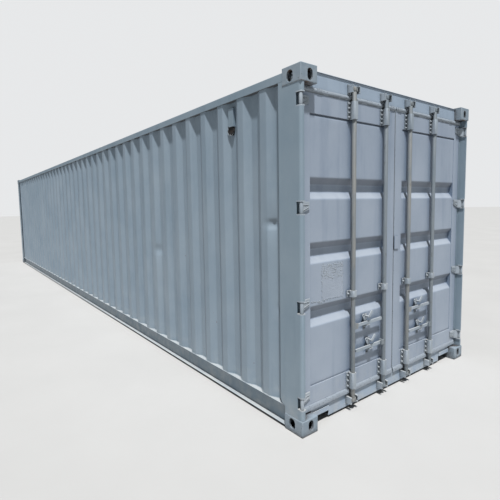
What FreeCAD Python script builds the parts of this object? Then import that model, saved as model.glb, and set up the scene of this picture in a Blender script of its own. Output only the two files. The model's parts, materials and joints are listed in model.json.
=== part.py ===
import FreeCAD, Part
import math
import os

V = FreeCAD.Vector

# Forty-foot dry freight container. All sizes are in millimetres. The doors face +X, the
# origin is on the ground under the middle of the container, and Z points up.

# ---- overall size ---------------------------------------------------------------------
LENGTH = 12192.0            # over the corner castings, along X
WIDTH = 2438.0              # over the corner castings, along Y
HEIGHT = 2591.0             # ground to the top of the castings

# ---- corner castings ------------------------------------------------------------------
CAST_L, CAST_W, CAST_H = 178.0, 162.0, 118.0
CAST_SLOT_WALL = 26.0       # wall with the twistlock slot
CAST_BACK_WALL = 12.0       # wall opposite the slot
CAST_FACE_WALL = 20.0       # walls with the end and side holes
CAST_INNER_WALL = 10.0      # blind walls
CAST_EDGE_R = 6.0
SLOT_INSET_X = 103.5        # slot centre from the end face
SLOT_INSET_Y = 89.5         # and from the side face
SLOT_LENGTH = 124.0
SLOT_R = 31.75              # half the slot's width
END_HOLE_W = 51.0
SIDE_HOLE_W = 60.0
HOLE_H = 79.5

# ---- sheet and section walls ----------------------------------------------------------
FACE_INSET = 4.0            # posts and rails stand this far inside the casting faces
POST_T = 6.0                # pressed post plate
CHANNEL_T = 12.0            # rolled inner channel of a door post
WALL_T = 2.0                # side, front and roof sheet
RAIL_T = 4.0                # rails and cross members
FRAME_T = 3.2               # door frame tube

# ---- rails ----------------------------------------------------------------------------
BASE_CLEAR = 20.0           # underside of the base structure above the ground
SIDE_RAIL_H = 155.0         # bottom side rail, a channel that opens outwards
SIDE_RAIL_W = 46.0
TOP_RAIL = 60.0             # square tube
TOP_RAIL_DROP = 26.0        # top of the tube below the casting tops
CROSS_H, CROSS_W = 122.0, 45.0
CROSS_PITCH = 300.0
FLOOR_T = 28.0
FLOOR_JOINT = 12.0          # width of the steel strip down the middle of the floor

# ---- posts ----------------------------------------------------------------------------
POST_W = 223.0              # outer plate, seen from the side
POST_CORNER_R = 22.0
POST_LIP = 36.0             # depth of the door post seen from the end
POST_D = 44.0               # depth of the post box from its outer to its inner face
POST_BOX_END = 175.0        # inner end of the post box, from the end plane
POST_FOOT_R = 40.0
SEAT_E = 66.0               # front of the inner channel, from the end plane
FRONT_POST_RETURN = 110.0   # width of a front post seen from the front

# ---- side and front walls -------------------------------------------------------------
CREST, VALLEY, SLOPE = 72.0, 70.0, 68.0
WALL_DEPTH = 36.0
WALL_INSET = 10.0           # crest face inside the casting's side face
FRONT_CREST, FRONT_VALLEY, FRONT_SLOPE = 110.0, 104.0, 18.0
FRONT_DEPTH = 45.6
FRONT_INSET = 10.0
ROOF_RIB, ROOF_FLAT, ROOF_SLOPE = 91.0, 91.0, 13.5
ROOF_RISE = 18.0
ROOF_LAP = 30.0             # roof sheet lies this far over the top rails

# ---- door end -------------------------------------------------------------------------
HEADER_E = 68.0             # header face from the end plane
HEADER_D = 100.0
HEADER_H = 135.0
HEADER_TOP_DROP = 8.0       # top of the header below the casting tops
HEADER_LIP = 7.0            # top plate overhangs the face
HEADER_LIP_T = 6.0
SILL_E = 72.0
SILL_D = 100.0
SILL_Z1 = 158.0             # bottom of the door opening
SILL_NOTCH_W, SILL_NOTCH_H = 200.0, 48.0
SILL_PLATE_H, SILL_PLATE_T = 38.0, 8.0

# ---- door leaves ----------------------------------------------------------------------
LEAF_E = 66.0               # outer face from the end plane
LEAF_T = 50.0
LEAF_GAP = 8.0              # to the posts, header and sill, and to the middle
STILE_W, FRAME_RAIL_H = 100.0, 147.0
PANEL_STEP = 4.0            # panel face behind the frame face
BAND_PITCH = 468.0
BAND_FLAT, BAND_SLOPE, BAND_DEPTH = 54.0, 50.0, 36.0
SEAL_W = 2.5                # seal stands out of the leaf edge
SEAL_LIP_UP, SEAL_LIP_DOWN = 28.0, 38.0
SEAL_LIP_T, SEAL_LIP_GAP = 6.0, 5.0
SEAL_LIP_ON_LEAF = 12.0
SEAL_INSET = 4.0            # seal from the leaf's outer and inner faces
SEAL_LIP_EASE = 5.0         # chamfer at the lip's edge
COVER_PLATE_Y = 4.0         # left edge, just past the middle
COVER_PLATE_W, COVER_PLATE_H, COVER_PLATE_T = 58.0, 114.0, 7.0
COVER_PLATE_UP = 1085.0     # above the leaf's lower edge

# ---- hinges ---------------------------------------------------------------------------
PIN_INSET = 22.0            # pin axis from the end plane and from the side plane
PIN_R = 7.0
PIN_FIT = 0.08              # radial running clearance
KNUCKLE_R = 13.0
BLADE_T = 8.0
BLADE_H = 80.0
BLADE_END_H = 50.0
BLADE_END_S = 143.0         # blade tip from the side plane
BLADE_PAD_START = 4.0       # flat of the blade starts past the leaf's hinge edge
HINGE_AXIAL_GAP = 1.5
LUG_T = 9.0
LUG_E, LUG_S = 52.0, 44.0
HINGE_UP = (74.0, 772.0)    # lower hinges above the leaf's lower edge
HINGE_DOWN = (806.0, 78.0)  # upper hinges below its upper edge

# ---- lock bars ------------------------------------------------------------------------
BAR_E = 36.0                # bar axis from the end plane
BAR_R = 17.0
BAR_NEAR, BAR_FAR = 183.0, 605.0    # bars from the middle of the container
BAR_FIT = 0.5               # radial clearance in the brackets
CAM_R, CAM_NOSE_R, CAM_NOSE_W, CAM_H = 20.0, 30.0, 24.0, 24.0
CAM_ABOVE, CAM_BELOW = 64.0, 73.0   # cams past the door opening
BAR_OVERRUN = 6.0           # bar past the cam
BRACKET_T = 6.0
BRACKET_W, BRACKET_HAT_W = 96.0, 48.0
BRACKET_HAT_E = 14.0
BRACKET_H, BRACKET_LOW_H, GUIDE_H = 134.0, 130.0, 50.0
BRACKET_EDGE = 4.0          # bracket to the seal lip
GUIDE_UP = 759.0            # guide above the leaf's lower edge
KEEPER_CHEEK_GAP = 10.0     # cheek to cam nose
KEEPER_T = 6.0
KEEPER_H, KEEPER_BASE_H = 56.0, 76.0
KEEPER_TIP_E = 16.0
KEEPER_LIP_W, KEEPER_LIP_H = 14.0, 10.0     # lips that hold the cam from above and below

# ---- handles --------------------------------------------------------------------------
HANDLE_UP = (516.0, 308.0)  # above the leaf's lower edge, first and second bar of a pair
HANDLE_L = 385.0            # bar axis to tip
HANDLE_H, HANDLE_T = 25.0, 10.0
HUB_OUT = 50.0              # hub reaches this far from the bar axis
HUB_PIN_Y = 34.0
HUB_H, HUB_CHEEK_T, HUB_GAP = 44.0, 8.0, 1.0
HANDLE_PIN_R = 6.0
HANDLE_END_GAP = 1.5        # inner end of the handle to the bar
CATCH_Y = 190.0             # retainer's distance from the bar axis
RETAINER_W = 50.0
RETAINER_LEDGE_GAP = 5.0
RETAINER_T = 6.0
RETAINER_LEDGE_E = 26.0
RETAINER_BELOW, RETAINER_ABOVE = 10.0, 16.0    # plate past the ledge and past the catch pivot
CATCH_PIVOT_UP = 50.0
CATCH_L, CATCH_W, CATCH_T = 62.0, 24.0, 6.0
CATCH_GAP = 7.0             # catch to the handle's face
CATCH_BOSS_R = 8.0
CATCH_FIT = 0.3
CATCH_PIN_END = 4.0         # pin past the catch
CATCH_REST_DEG = 45.0       # raised above level

# ---- ventilators ----------------------------------------------------------------------
VENT_VALLEY = 2             # third valley from the door post
VENT_W, VENT_H, VENT_D = 64.0, 150.0, 26.0
VENT_DROP = 47.0            # below the top rail
VENT_T = 2.0

# ---- gooseneck tunnel -----------------------------------------------------------------
TUNNEL_W = 1029.0
TUNNEL_L = 3275.0
TUNNEL_T = 6.0

# ---- derived levels -------------------------------------------------------------------
HX, HY = LENGTH / 2, WIDTH / 2
RAIL_Z1 = BASE_CLEAR + SIDE_RAIL_H                  # top of the bottom side rails
TOP_Z1 = HEIGHT - TOP_RAIL_DROP                     # top of the top rails
TOP_Z0 = TOP_Z1 - TOP_RAIL                          # and their underside
FLOOR_Z0 = BASE_CLEAR + CROSS_H
FLOOR_Z1 = FLOOR_Z0 + FLOOR_T
POST_INNER_S = FACE_INSET + POST_D                  # inner face of a door post
LEAF_HINGE_S = POST_INNER_S + LEAF_GAP              # hinge edge of a leaf
HEADER_Z1 = HEIGHT - HEADER_TOP_DROP
HEADER_Z0 = HEADER_Z1 - HEADER_H                    # top of the door opening
LEAF_Z0, LEAF_Z1 = SILL_Z1 + LEAF_GAP, HEADER_Z0 - LEAF_GAP
HINGE_Z = [LEAF_Z0 + d for d in HINGE_UP] + [LEAF_Z1 - d for d in HINGE_DOWN]
HANDLE_Z = [LEAF_Z0 + d for d in HANDLE_UP]
CAM_TOP_Z, CAM_LOW_Z = HEADER_Z0 + CAM_ABOVE, SILL_Z1 - CAM_BELOW
BAR_Y = (-BAR_FAR, -BAR_NEAR, BAR_NEAR, BAR_FAR)
UPPER_CAST_Z0 = HEIGHT - CAST_H
HANDLE_E = BAR_E                                    # middle plane of the handles
SIDE_WALL_IN = WALL_INSET + WALL_DEPTH + WALL_T     # inner face of a side wall
FRONT_WALL_IN = FRONT_INSET + FRONT_DEPTH + WALL_T

parts = {}


# ---- helpers --------------------------------------------------------------------------
def ex(e):
    """X of a distance e inside the door end plane."""
    return HX - e


def sy(s):
    """Y of a distance s inside the left side plane."""
    return -HY + s


def box(x0, x1, y0, y1, z0, z1):
    """Box between two corners given in any order."""
    xs, ys, zs = sorted((x0, x1)), sorted((y0, y1)), sorted((z0, z1))
    return Part.makeBox(xs[1] - xs[0], ys[1] - ys[0], zs[1] - zs[0], V(xs[0], ys[0], zs[0]))


def prism(points, along):
    """Closed polygon of 3-D points pulled along a vector."""
    corners = [V(*p) for p in points]
    return Part.Face(Part.makePolygon(corners + corners[:1])).extrude(V(*along))


def plan(points, z0, z1):
    """Polygon of (x, y) points standing from z0 to z1."""
    return prism([(x, y, z0) for x, y in points], (0, 0, z1 - z0))


def profile_y(points, y0, y1):
    """Polygon of (x, z) points pulled from y0 to y1."""
    return prism([(x, y0, z) for x, z in points], (0, y1 - y0, 0))


def profile_x(points, x0, x1):
    """Polygon of (y, z) points pulled from x0 to x1."""
    return prism([(x0, y, z) for y, z in points], (x1 - x0, 0, 0))


def cyl(r, height, base, axis=(0, 0, 1)):
    return Part.makeCylinder(r, height, V(*base), V(*axis))


def fuse(shapes):
    """One clean solid from pieces that touch or overlap."""
    result = shapes[0].multiFuse(shapes[1:]) if len(shapes) > 1 else shapes[0]
    return result.removeSplitter()


def flip(shape, axis):
    """Mirror image through the middle of the container."""
    return shape.mirror(V(0, 0, 0), V(*axis))


def other_side(shape):
    return flip(shape, (0, 1, 0))


def group(solids):
    return solids[0] if len(solids) == 1 else Part.makeCompound(solids)


def fillet_edges(shape, radius, wanted):
    """Round the straight edges that the test picks out by their two end points."""
    edges = [e for e in shape.Edges if len(e.Vertexes) == 2
             and wanted(e.Vertexes[0].Point, e.Vertexes[1].Point)]
    return shape.makeFillet(radius, edges)


def offset_line(points, t):
    """The open line moved sideways by t, mitred at each corner."""
    def shift(a, b):
        dx, dy = b[0] - a[0], b[1] - a[1]
        n = math.hypot(dx, dy)
        return -dy / n * t, dx / n * t

    out = []
    last = len(points) - 1
    for i, p in enumerate(points):
        if i in (0, last):
            a, b = (points[0], points[1]) if i == 0 else (points[-2], points[-1])
            nx, ny = shift(a, b)
            out.append((p[0] + nx, p[1] + ny))
            continue
        n0, n1 = shift(points[i - 1], p), shift(p, points[i + 1])
        mx, my = n0[0] + n1[0], n0[1] + n1[1]
        k = 2 * t * t / (mx * mx + my * my)
        out.append((p[0] + mx * k, p[1] + my * k))
    return out


def sheet(points, t):
    """Outline of a bent sheet whose outer face follows the points."""
    return points + offset_line(points, t)[::-1]


def waves(start, end, low, high, flat_low, flat_high, slope):
    """Line of trapezoid waves, with a low flat shared out at both ends."""
    pitch = flat_low + flat_high + 2 * slope
    count = int((end - start - flat_low / 2) // pitch)
    edge = (end - start - count * pitch + flat_low) / 2
    line = [(start, low)]
    at = start + edge
    for i in range(count):
        line += [(at, low), (at + slope, high), (at + slope + flat_high, high),
                 (at + 2 * slope + flat_high, low)]
        at += pitch
    line.append((end, low))
    return line


# ---- castings -------------------------------------------------------------------------
def stadium(width, height, depth):
    """Upright rounded hole, centred on the origin and running along +Y."""
    r = width / 2
    straight = height - width
    core = box(-r, r, 0, depth, -straight / 2, straight / 2)
    ends = [cyl(r, depth, (0, 0, z), (0, 1, 0)) for z in (-straight / 2, straight / 2)]
    return fuse([core] + ends)


def slot_cutter(x, y, z0, z1):
    """Twistlock slot, long way along X."""
    half = SLOT_LENGTH / 2 - SLOT_R
    core = box(x - half, x + half, y - SLOT_R, y + SLOT_R, z0, z1)
    ends = [cyl(SLOT_R, z1 - z0, (x + d, y, z0)) for d in (-half, half)]
    return fuse([core] + ends)


def upper_casting():
    """Left upper casting at the door end."""
    x0, x1 = HX - CAST_L, HX
    y0, y1 = -HY, -HY + CAST_W
    z0, z1 = UPPER_CAST_Z0, HEIGHT
    block = box(x0, x1, y0, y1, z0, z1)
    block = fillet_edges(block, CAST_EDGE_R, lambda a, b: abs(a.x - HX) < 1 and abs(b.x - HX) < 1
                         or abs(a.y + HY) < 1 and abs(b.y + HY) < 1 and abs(a.z - b.z) < 1)
    cavity_z = (z0 + CAST_BACK_WALL, z1 - CAST_SLOT_WALL)
    cavity = box(x0 + CAST_INNER_WALL, x1 - CAST_FACE_WALL,
                 y0 + CAST_FACE_WALL, y1 - CAST_INNER_WALL, *cavity_z)
    cx, cy = ex(SLOT_INSET_X), sy(SLOT_INSET_Y)
    hole_z = sum(cavity_z) / 2
    reach = CAST_FACE_WALL + 2
    side = stadium(SIDE_HOLE_W, HOLE_H, reach)
    side.translate(V(cx, y0 - 1, hole_z))
    end = stadium(END_HOLE_W, HOLE_H, reach)
    end.rotate(V(0, 0, 0), V(0, 0, 1), 90)
    end.translate(V(x1 + 1, cy, hole_z))
    slot = slot_cutter(cx, cy, cavity_z[1] - 1, z1 + 1)
    return block.cut(fuse([cavity, side, end, slot]))


def castings():
    up = upper_casting()
    low = flip(up, (0, 0, 1))
    low.translate(V(0, 0, HEIGHT))
    for level, shape in (("upper", up), ("lower", low)):
        for end, turn_x in (("door", False), ("front", True)):
            piece = flip(shape, (1, 0, 0)) if turn_x else shape
            parts["casting_%s_%s_left" % (end, level)] = piece
            parts["casting_%s_%s_right" % (end, level)] = other_side(piece)


# ---- posts ----------------------------------------------------------------------------
def rounded_corner_plan(e0, s0, e1, s1, r, steps=8):
    """Rectangle between two (e, s) corners with its outer corner rounded."""
    arc = []
    for i in range(steps + 1):
        a = math.pi / 2 * i / steps
        arc.append((e0 + r - r * math.sin(a), s0 + r - r * math.cos(a)))
    return [(ex(e), sy(s)) for e, s in [(e1, s0)] + arc + [(e0, s1), (e1, s1)]]


def post_side_strip():
    """The outer plate past the casting, with its rounded foot on the bottom rail."""
    x0, x1 = ex(POST_W), ex(CAST_L)
    y0, y1 = sy(FACE_INSET), sy(FACE_INSET + POST_T)
    r = min(POST_FOOT_R, POST_W - CAST_L - 1)
    strip = box(x0, x1, y0, y1, RAIL_Z1, TOP_Z0)
    corner = box(x0, x0 + r, y0, y1, RAIL_Z1, RAIL_Z1 + r)
    round_part = cyl(r, y1 - y0, (x0 + r, y0, RAIL_Z1 + r), (0, 1, 0))
    return strip.cut(corner.cut(round_part))


def hinge_notch(z):
    half = BLADE_H / 2 + HINGE_AXIAL_GAP + LUG_T
    return box(ex(-1), ex(LUG_E), sy(-1), sy(POST_LIP + 1), z - half, z + half)


def door_post():
    """Left door post: a pressed outer plate with a lip, and a rolled channel inside."""
    z0, z1 = CAST_H, UPPER_CAST_Z0
    f, t = FACE_INSET, POST_T
    shell = plan(rounded_corner_plan(f, f, POST_BOX_END, POST_LIP, POST_CORNER_R), z0, z1)
    shell = shell.cut(plan(rounded_corner_plan(f + t, f + t, POST_BOX_END + 1, POST_LIP - t,
                                               POST_CORNER_R - t), z0 - 1, z1 + 1))
    shell = shell.cut(box(ex(SEAT_E), ex(POST_BOX_END + 1), sy(f + t), sy(POST_LIP + 1),
                          z0 - 1, z1 + 1))
    side_plate = box(ex(POST_BOX_END), ex(CAST_L), sy(f), sy(f + t), z0, z1)
    web = box(ex(SEAT_E), ex(POST_BOX_END), sy(POST_INNER_S - CHANNEL_T), sy(POST_INNER_S), z0, z1)
    flanges = [box(ex(e), ex(e + CHANNEL_T), sy(f + t), sy(POST_INNER_S), z0, z1)
               for e in (SEAT_E, POST_BOX_END - CHANNEL_T)]
    post = fuse([shell, side_plate, web, post_side_strip()] + flanges)
    for z in HINGE_Z:
        post = post.cut(hinge_notch(z))
    return post


def front_post():
    """Left front post, drawn at the door end and mirrored into place."""
    z0, z1 = CAST_H, UPPER_CAST_Z0
    f, t = FACE_INSET, POST_T
    tube = plan(rounded_corner_plan(f, f, POST_BOX_END, POST_INNER_S, POST_CORNER_R), z0, z1)
    tube = tube.cut(plan(rounded_corner_plan(f + t, f + t, POST_BOX_END - t, POST_INNER_S - t,
                                             POST_CORNER_R - t), z0 - 1, z1 + 1))
    side_plate = box(ex(POST_BOX_END), ex(CAST_L), sy(f), sy(f + t), z0, z1)
    end_plate = box(ex(f), ex(f + t), sy(POST_INNER_S), sy(FRONT_POST_RETURN), z0, z1)
    return flip(fuse([tube, side_plate, end_plate, post_side_strip()]), (1, 0, 0))


def posts():
    rear = door_post()
    parts["door_post_left"] = rear
    parts["door_post_right"] = other_side(rear)
    front = front_post()
    parts["front_post_left"] = front
    parts["front_post_right"] = other_side(front)


# ---- rails ----------------------------------------------------------------------------
def tube_x(x0, x1, y0, y1, z0, z1, t):
    """Rectangular tube along X with open ends."""
    return box(x0, x1, y0, y1, z0, z1).cut(box(x0 - 1, x1 + 1, y0 + t, y1 - t, z0 + t, z1 - t))


def side_rails():
    x1 = HX - CAST_L
    top = tube_x(-x1, x1, sy(FACE_INSET), sy(FACE_INSET + TOP_RAIL), TOP_Z0, TOP_Z1, RAIL_T)
    parts["top_side_rails"] = group([top, other_side(top)])
    y0, y1 = sy(FACE_INSET), sy(FACE_INSET + SIDE_RAIL_W)
    low = box(-x1, x1, y0, y1, BASE_CLEAR, RAIL_Z1)
    low = low.cut(box(-x1 - 1, x1 + 1, y0 - 1, y1 - RAIL_T, BASE_CLEAR + RAIL_T, RAIL_Z1 - RAIL_T))
    parts["bottom_side_rails"] = group([low, other_side(low)])


def front_rails():
    """Top tube and bottom channel of the front end, drawn at the door end and mirrored."""
    y = HY - CAST_W
    e0, e1 = FACE_INSET, FACE_INSET + TOP_RAIL
    top = box(ex(e0), ex(e1), -y, y, TOP_Z0, TOP_Z1)
    top = top.cut(box(ex(e0 + RAIL_T), ex(e1 - RAIL_T), -y - 1, y + 1, TOP_Z0 + RAIL_T, TOP_Z1 - RAIL_T))
    parts["front_top_rail"] = flip(top, (1, 0, 0))
    web = box(ex(e0), ex(e0 + RAIL_T), -y, y, BASE_CLEAR, RAIL_Z1)
    cap = box(ex(e0), ex(e1), -y, y, RAIL_Z1 - RAIL_T, RAIL_Z1)
    foot = box(ex(e0), ex(e1), -y, y, BASE_CLEAR, BASE_CLEAR + RAIL_T)
    half = TUNNEL_W / 2
    mouth = box(ex(e0 - 1), ex(e1 + 1), -half, half, BASE_CLEAR - 1, RAIL_Z1 + 1)
    rail = fuse([web, cap, foot])
    over = rail.common(mouth).cut(box(ex(e0 - 1), ex(e1 + 1), -half, half, 0, FLOOR_Z0 - TUNNEL_T))
    lengths = rail.cut(mouth).Solids + [over]
    parts["front_bottom_rail"] = group([flip(length, (1, 0, 0)) for length in lengths])


def header():
    """Hollow beam over the doors, deeper between the castings than between the posts."""
    y_cast, y_post = HY - CAST_W, HY - POST_INNER_S
    z1 = HEADER_Z1
    e0, e1 = HEADER_E, HEADER_E + HEADER_D
    body = box(ex(e0), ex(e1), -y_cast, y_cast, HEADER_Z0, z1)
    wings = box(ex(e0), ex(e1), -y_post, y_post, HEADER_Z0, UPPER_CAST_Z0)
    t = RAIL_T
    hollow = box(ex(e0 + t), ex(e1 - t), -y_cast - 1, y_cast + 1, UPPER_CAST_Z0, z1 - t)
    lower = box(ex(e0 + t), ex(e1 - t), -y_post - 1, y_post + 1, HEADER_Z0 + t, UPPER_CAST_Z0 + 1)
    lip = box(ex(e0 - HEADER_LIP), ex(e0 + 1), -y_cast, y_cast, z1 - HEADER_LIP_T, z1)
    parts["door_header"] = fuse([fuse([body, wings]).cut(fuse([hollow, lower])), lip])


def sill():
    """Channel under the doors, with a notch and a doubling plate beside each casting."""
    y_cast, y_post = HY - CAST_W, HY - POST_INNER_S
    e0, e1, t = SILL_E, SILL_E + SILL_D, RAIL_T
    web = box(ex(e0), ex(e0 + t), -y_cast, y_cast, BASE_CLEAR, SILL_Z1)
    upper_web = box(ex(e0), ex(e0 + t), -y_post, y_post, CAST_H, SILL_Z1)
    cap = box(ex(e0), ex(e1), -y_post, y_post, SILL_Z1 - t, SILL_Z1)
    foot = box(ex(e0), ex(e1), -y_cast, y_cast, BASE_CLEAR, BASE_CLEAR + t)
    beam = fuse([web, upper_web, cap, foot])
    s0, s1 = CAST_W, CAST_W + SILL_NOTCH_W
    z_notch = BASE_CLEAR + SILL_NOTCH_H
    for side in (1, -1):
        beam = beam.cut(box(ex(e0 - 1), ex(e1 + 1), side * sy(s0 - 1), side * sy(s1),
                            BASE_CLEAR - 1, z_notch))
    pieces = [beam]
    for side in (1, -1):
        ya, yb = side * sy(s0), side * sy(s1)
        pieces.append(box(ex(e0), ex(e1), ya, yb, z_notch, z_notch + t))
        pieces.append(box(ex(e0 - SILL_PLATE_T), ex(e0), ya, yb, z_notch, z_notch + SILL_PLATE_H))
    parts["door_sill"] = fuse(pieces)


# ---- walls, roof, floor and base ------------------------------------------------------
def casting_blocks():
    """The room that the four upper castings take."""
    return fuse([box(sx * HX, sx * (HX - CAST_L), side * HY, side * (HY - CAST_W), UPPER_CAST_Z0, HEIGHT)
                 for sx in (1, -1) for side in (1, -1)])


def side_walls():
    x1 = HX - POST_W
    y_in, y_out = sy(WALL_INSET + WALL_DEPTH), sy(WALL_INSET)
    line = waves(-x1, x1, y_in, y_out, VALLEY, CREST, SLOPE)
    wall = plan(sheet(line, WALL_T), RAIL_Z1, TOP_Z0)
    parts["side_wall_left"] = wall
    parts["side_wall_right"] = other_side(wall)


def front_wall():
    y1 = HY - FRONT_POST_RETURN
    e_out = FRONT_INSET
    line = waves(-y1, y1, -ex(e_out), -ex(e_out + FRONT_DEPTH), FRONT_CREST, FRONT_VALLEY, FRONT_SLOPE)
    outline = [(x, y) for y, x in sheet(line, -WALL_T)]
    parts["front_wall"] = plan(outline, RAIL_Z1, TOP_Z0).cut(casting_blocks())


def roof():
    x1 = ex(HEADER_E + HEADER_D)
    x0 = -ex(FACE_INSET + TOP_RAIL - ROOF_LAP)
    y1 = HY - FACE_INSET - TOP_RAIL + ROOF_LAP
    line = waves(x0, x1, TOP_Z1 + WALL_T, TOP_Z1 + WALL_T + ROOF_RISE, ROOF_FLAT, ROOF_RIB, ROOF_SLOPE)
    parts["roof"] = profile_y(sheet(line, -WALL_T), -y1, y1).cut(casting_blocks())


def channel_y(x, y0, y1):
    """Cross member along Y with its web on the +X side."""
    t, z0, z1 = RAIL_T, BASE_CLEAR, FLOOR_Z0
    return fuse([box(x, x + t, y0, y1, z0, z1),
                 box(x + t - CROSS_W, x + t, y0, y1, z0, z0 + t),
                 box(x + t - CROSS_W, x + t, y0, y1, z1 - t, z1)])


def base():
    y_in = HY - FACE_INSET - SIDE_RAIL_W
    tunnel_x = -HX + TUNNEL_L
    first = ex(SILL_E + SILL_D) - CROSS_PITCH / 2
    count = int((first - tunnel_x - CROSS_W) // CROSS_PITCH) + 1
    parts["cross_members"] = group([channel_y(first - i * CROSS_PITCH, -y_in, y_in)
                                    for i in range(count)])
    half = TUNNEL_W / 2 + TUNNEL_T
    front = -ex(FACE_INSET + TOP_RAIL)
    outer_count = int((tunnel_x - front - CROSS_PITCH / 3) // CROSS_PITCH)
    left = [channel_y(tunnel_x - CROSS_PITCH / 2 - i * CROSS_PITCH, -y_in, -half)
            for i in range(outer_count)]
    parts["tunnel_side_members_left"] = group(left)
    parts["tunnel_side_members_right"] = group([other_side(s) for s in left])
    top_z = FLOOR_Z0 - TUNNEL_T
    parts["tunnel_top"] = box(front, tunnel_x, -half, half, top_z, FLOOR_Z0)
    side = box(front, tunnel_x, -half, -half + TUNNEL_T, BASE_CLEAR, top_z)
    parts["tunnel_sides"] = group([side, other_side(side)])


def floor():
    x0 = -ex(FACE_INSET + TOP_RAIL)
    x1 = ex(SILL_E + SILL_D)
    y1 = HY - FACE_INSET - SIDE_RAIL_W
    half = FLOOR_JOINT / 2
    boards = [box(x0, x1, y0, y2, FLOOR_Z0, FLOOR_Z1) for y0, y2 in ((-y1, -half), (half, y1))]
    parts["floor_boards"] = group(boards)
    parts["floor_strip"] = box(x0, x1, -half, half, FLOOR_Z0, FLOOR_Z1)


# ---- door leaves ----------------------------------------------------------------------
def leaf_outline():
    """Y and Z limits of the left leaf."""
    return sy(LEAF_HINGE_S), -LEAF_GAP, LEAF_Z0, LEAF_Z1


def leaf_frame():
    y0, y1, z0, z1 = leaf_outline()
    t = FRAME_T
    e0, e1 = LEAF_E, LEAF_E + LEAF_T
    pieces = []
    for ya, yb in ((y0, y0 + STILE_W), (y1 - STILE_W, y1)):
        outer = box(ex(e0), ex(e1), ya, yb, z0, z1)
        pieces.append(outer.cut(box(ex(e0 + t), ex(e1 - t), ya + t, yb - t, z0 - 1, z1 + 1)))
    ya, yb = y0 + STILE_W, y1 - STILE_W
    for za, zb in ((z0, z0 + FRAME_RAIL_H), (z1 - FRAME_RAIL_H, z1)):
        outer = box(ex(e0), ex(e1), ya, yb, za, zb)
        pieces.append(outer.cut(box(ex(e0 + t), ex(e1 + 1), ya - 1, yb + 1, za + t, zb - t)))
    return fuse(pieces)


def leaf_panel():
    y0, y1, z0, z1 = leaf_outline()
    za, zb = z0 + FRAME_RAIL_H, z1 - FRAME_RAIL_H
    x_out, x_in = ex(LEAF_E + PANEL_STEP), ex(LEAF_E + PANEL_STEP + BAND_DEPTH)
    line = [(za, x_out)]
    half = BAND_FLAT / 2
    for k in (-1, 0, 1):
        mid = (z0 + z1) / 2 + k * BAND_PITCH
        line += [(mid - half - BAND_SLOPE, x_out), (mid - half, x_in),
                 (mid + half, x_in), (mid + half + BAND_SLOPE, x_out)]
    line.append((zb, x_out))
    outline = [(x, z) for z, x in sheet(line, -WALL_T)]
    return profile_y(outline, y0 + STILE_W, y1 - STILE_W)


def leaf_seal():
    """Rubber strip round the leaf edge, with a lip over the header and the sill."""
    y0, y1, z0, z1 = leaf_outline()
    w = SEAL_W
    e0, e1 = LEAF_E + SEAL_INSET, LEAF_E + LEAF_T - SEAL_INSET
    ring = box(ex(e0), ex(e1), y0 - w, y1 + w, z0 - w, z1 + w)
    ring = ring.cut(box(ex(e0 - 1), ex(e1 + 1), y0, y1, z0, z1))
    lip_in = HEADER_E - SEAL_LIP_GAP
    lip_out = lip_in - SEAL_LIP_T
    lips = []
    for edge, sign, reach in ((z1, 1, SEAL_LIP_UP), (z0, -1, SEAL_LIP_DOWN)):
        root = edge - sign * SEAL_LIP_ON_LEAF
        shape = [(LEAF_E, root), (LEAF_E, edge), (e0 + 2, edge), (e0 + 2, edge + sign * w),
                 (lip_in, edge + sign * w), (lip_in, edge + sign * reach),
                 (lip_out + SEAL_LIP_T / 2, edge + sign * reach), (lip_out, edge + sign * (reach - SEAL_LIP_EASE)),
                 (lip_out, root + sign * SEAL_INSET)]
        lips.append(profile_y([(ex(e), z) for e, z in shape], y0, y1))
    return fuse([ring] + lips)


def hinge_blade(z):
    """Cranked blade from the pin to the leaf face, narrower at its tip."""
    p, h = PIN_INSET, BLADE_H / 2
    end = BLADE_END_S
    pad0 = LEAF_HINGE_S + BLADE_PAD_START
    pad = box(ex(LEAF_E - BLADE_T), ex(LEAF_E), sy(pad0), sy(end), z - h, z + h)
    half = BLADE_T / 2
    arm_e = LEAF_E - BLADE_T / 2
    length = math.hypot(arm_e - p, pad0 + 1 - p)
    ue, us = (arm_e - p) / length, (pad0 + 1 - p) / length
    ring = [(p - us * half, p + ue * half), (arm_e - us * half, pad0 + 1 + ue * half),
            (arm_e + us * half, pad0 + 1 - ue * half), (p + us * half, p - ue * half)]
    arm = plan([(ex(e), sy(s)) for e, s in ring], z - h, z + h)
    arm = arm.cut(box(ex(LEAF_E), ex(LEAF_E + LEAF_T), sy(0), sy(end), z - h - 1, z + h + 1))
    knuckle = cyl(KNUCKLE_R, BLADE_H, (ex(p), sy(p), z - h))
    blade = fuse([pad, arm, knuckle])
    taper = profile_x([(sy(-p), z - h - 1), (sy(pad0), z - h - 1), (sy(end + 1), z + h - BLADE_END_H),
                       (sy(end + 1), z + h + 1), (sy(-p), z + h + 1)], ex(LEAF_E + LEAF_T), ex(-p))
    blade = blade.common(taper)
    return blade.cut(cyl(PIN_R + PIN_FIT, BLADE_H + 4, (ex(p), sy(p), z - h - 2)))


def hinge_lug_pair(z):
    """Two lugs in the post notch and the pin through them."""
    p = PIN_INSET
    half = BLADE_H / 2 + HINGE_AXIAL_GAP
    f = FACE_INSET
    shape = rounded_corner_plan(f, f, LUG_E, LUG_S, POST_CORNER_R)
    lugs = [plan(shape, z + half, z + half + LUG_T), plan(shape, z - half - LUG_T, z - half)]
    pin = cyl(PIN_R, 2 * (half + LUG_T), (ex(p), sy(p), z - half - LUG_T))
    return fuse(lugs + [pin])


def hinges():
    blades = [hinge_blade(z) for z in HINGE_Z]
    parts["hinge_blades_left"] = group(blades)
    parts["hinge_blades_right"] = group([other_side(b) for b in blades])
    lugs = [hinge_lug_pair(z) for z in HINGE_Z]
    parts["hinge_lugs_left"] = group(lugs)
    parts["hinge_lugs_right"] = group([other_side(b) for b in lugs])


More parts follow.
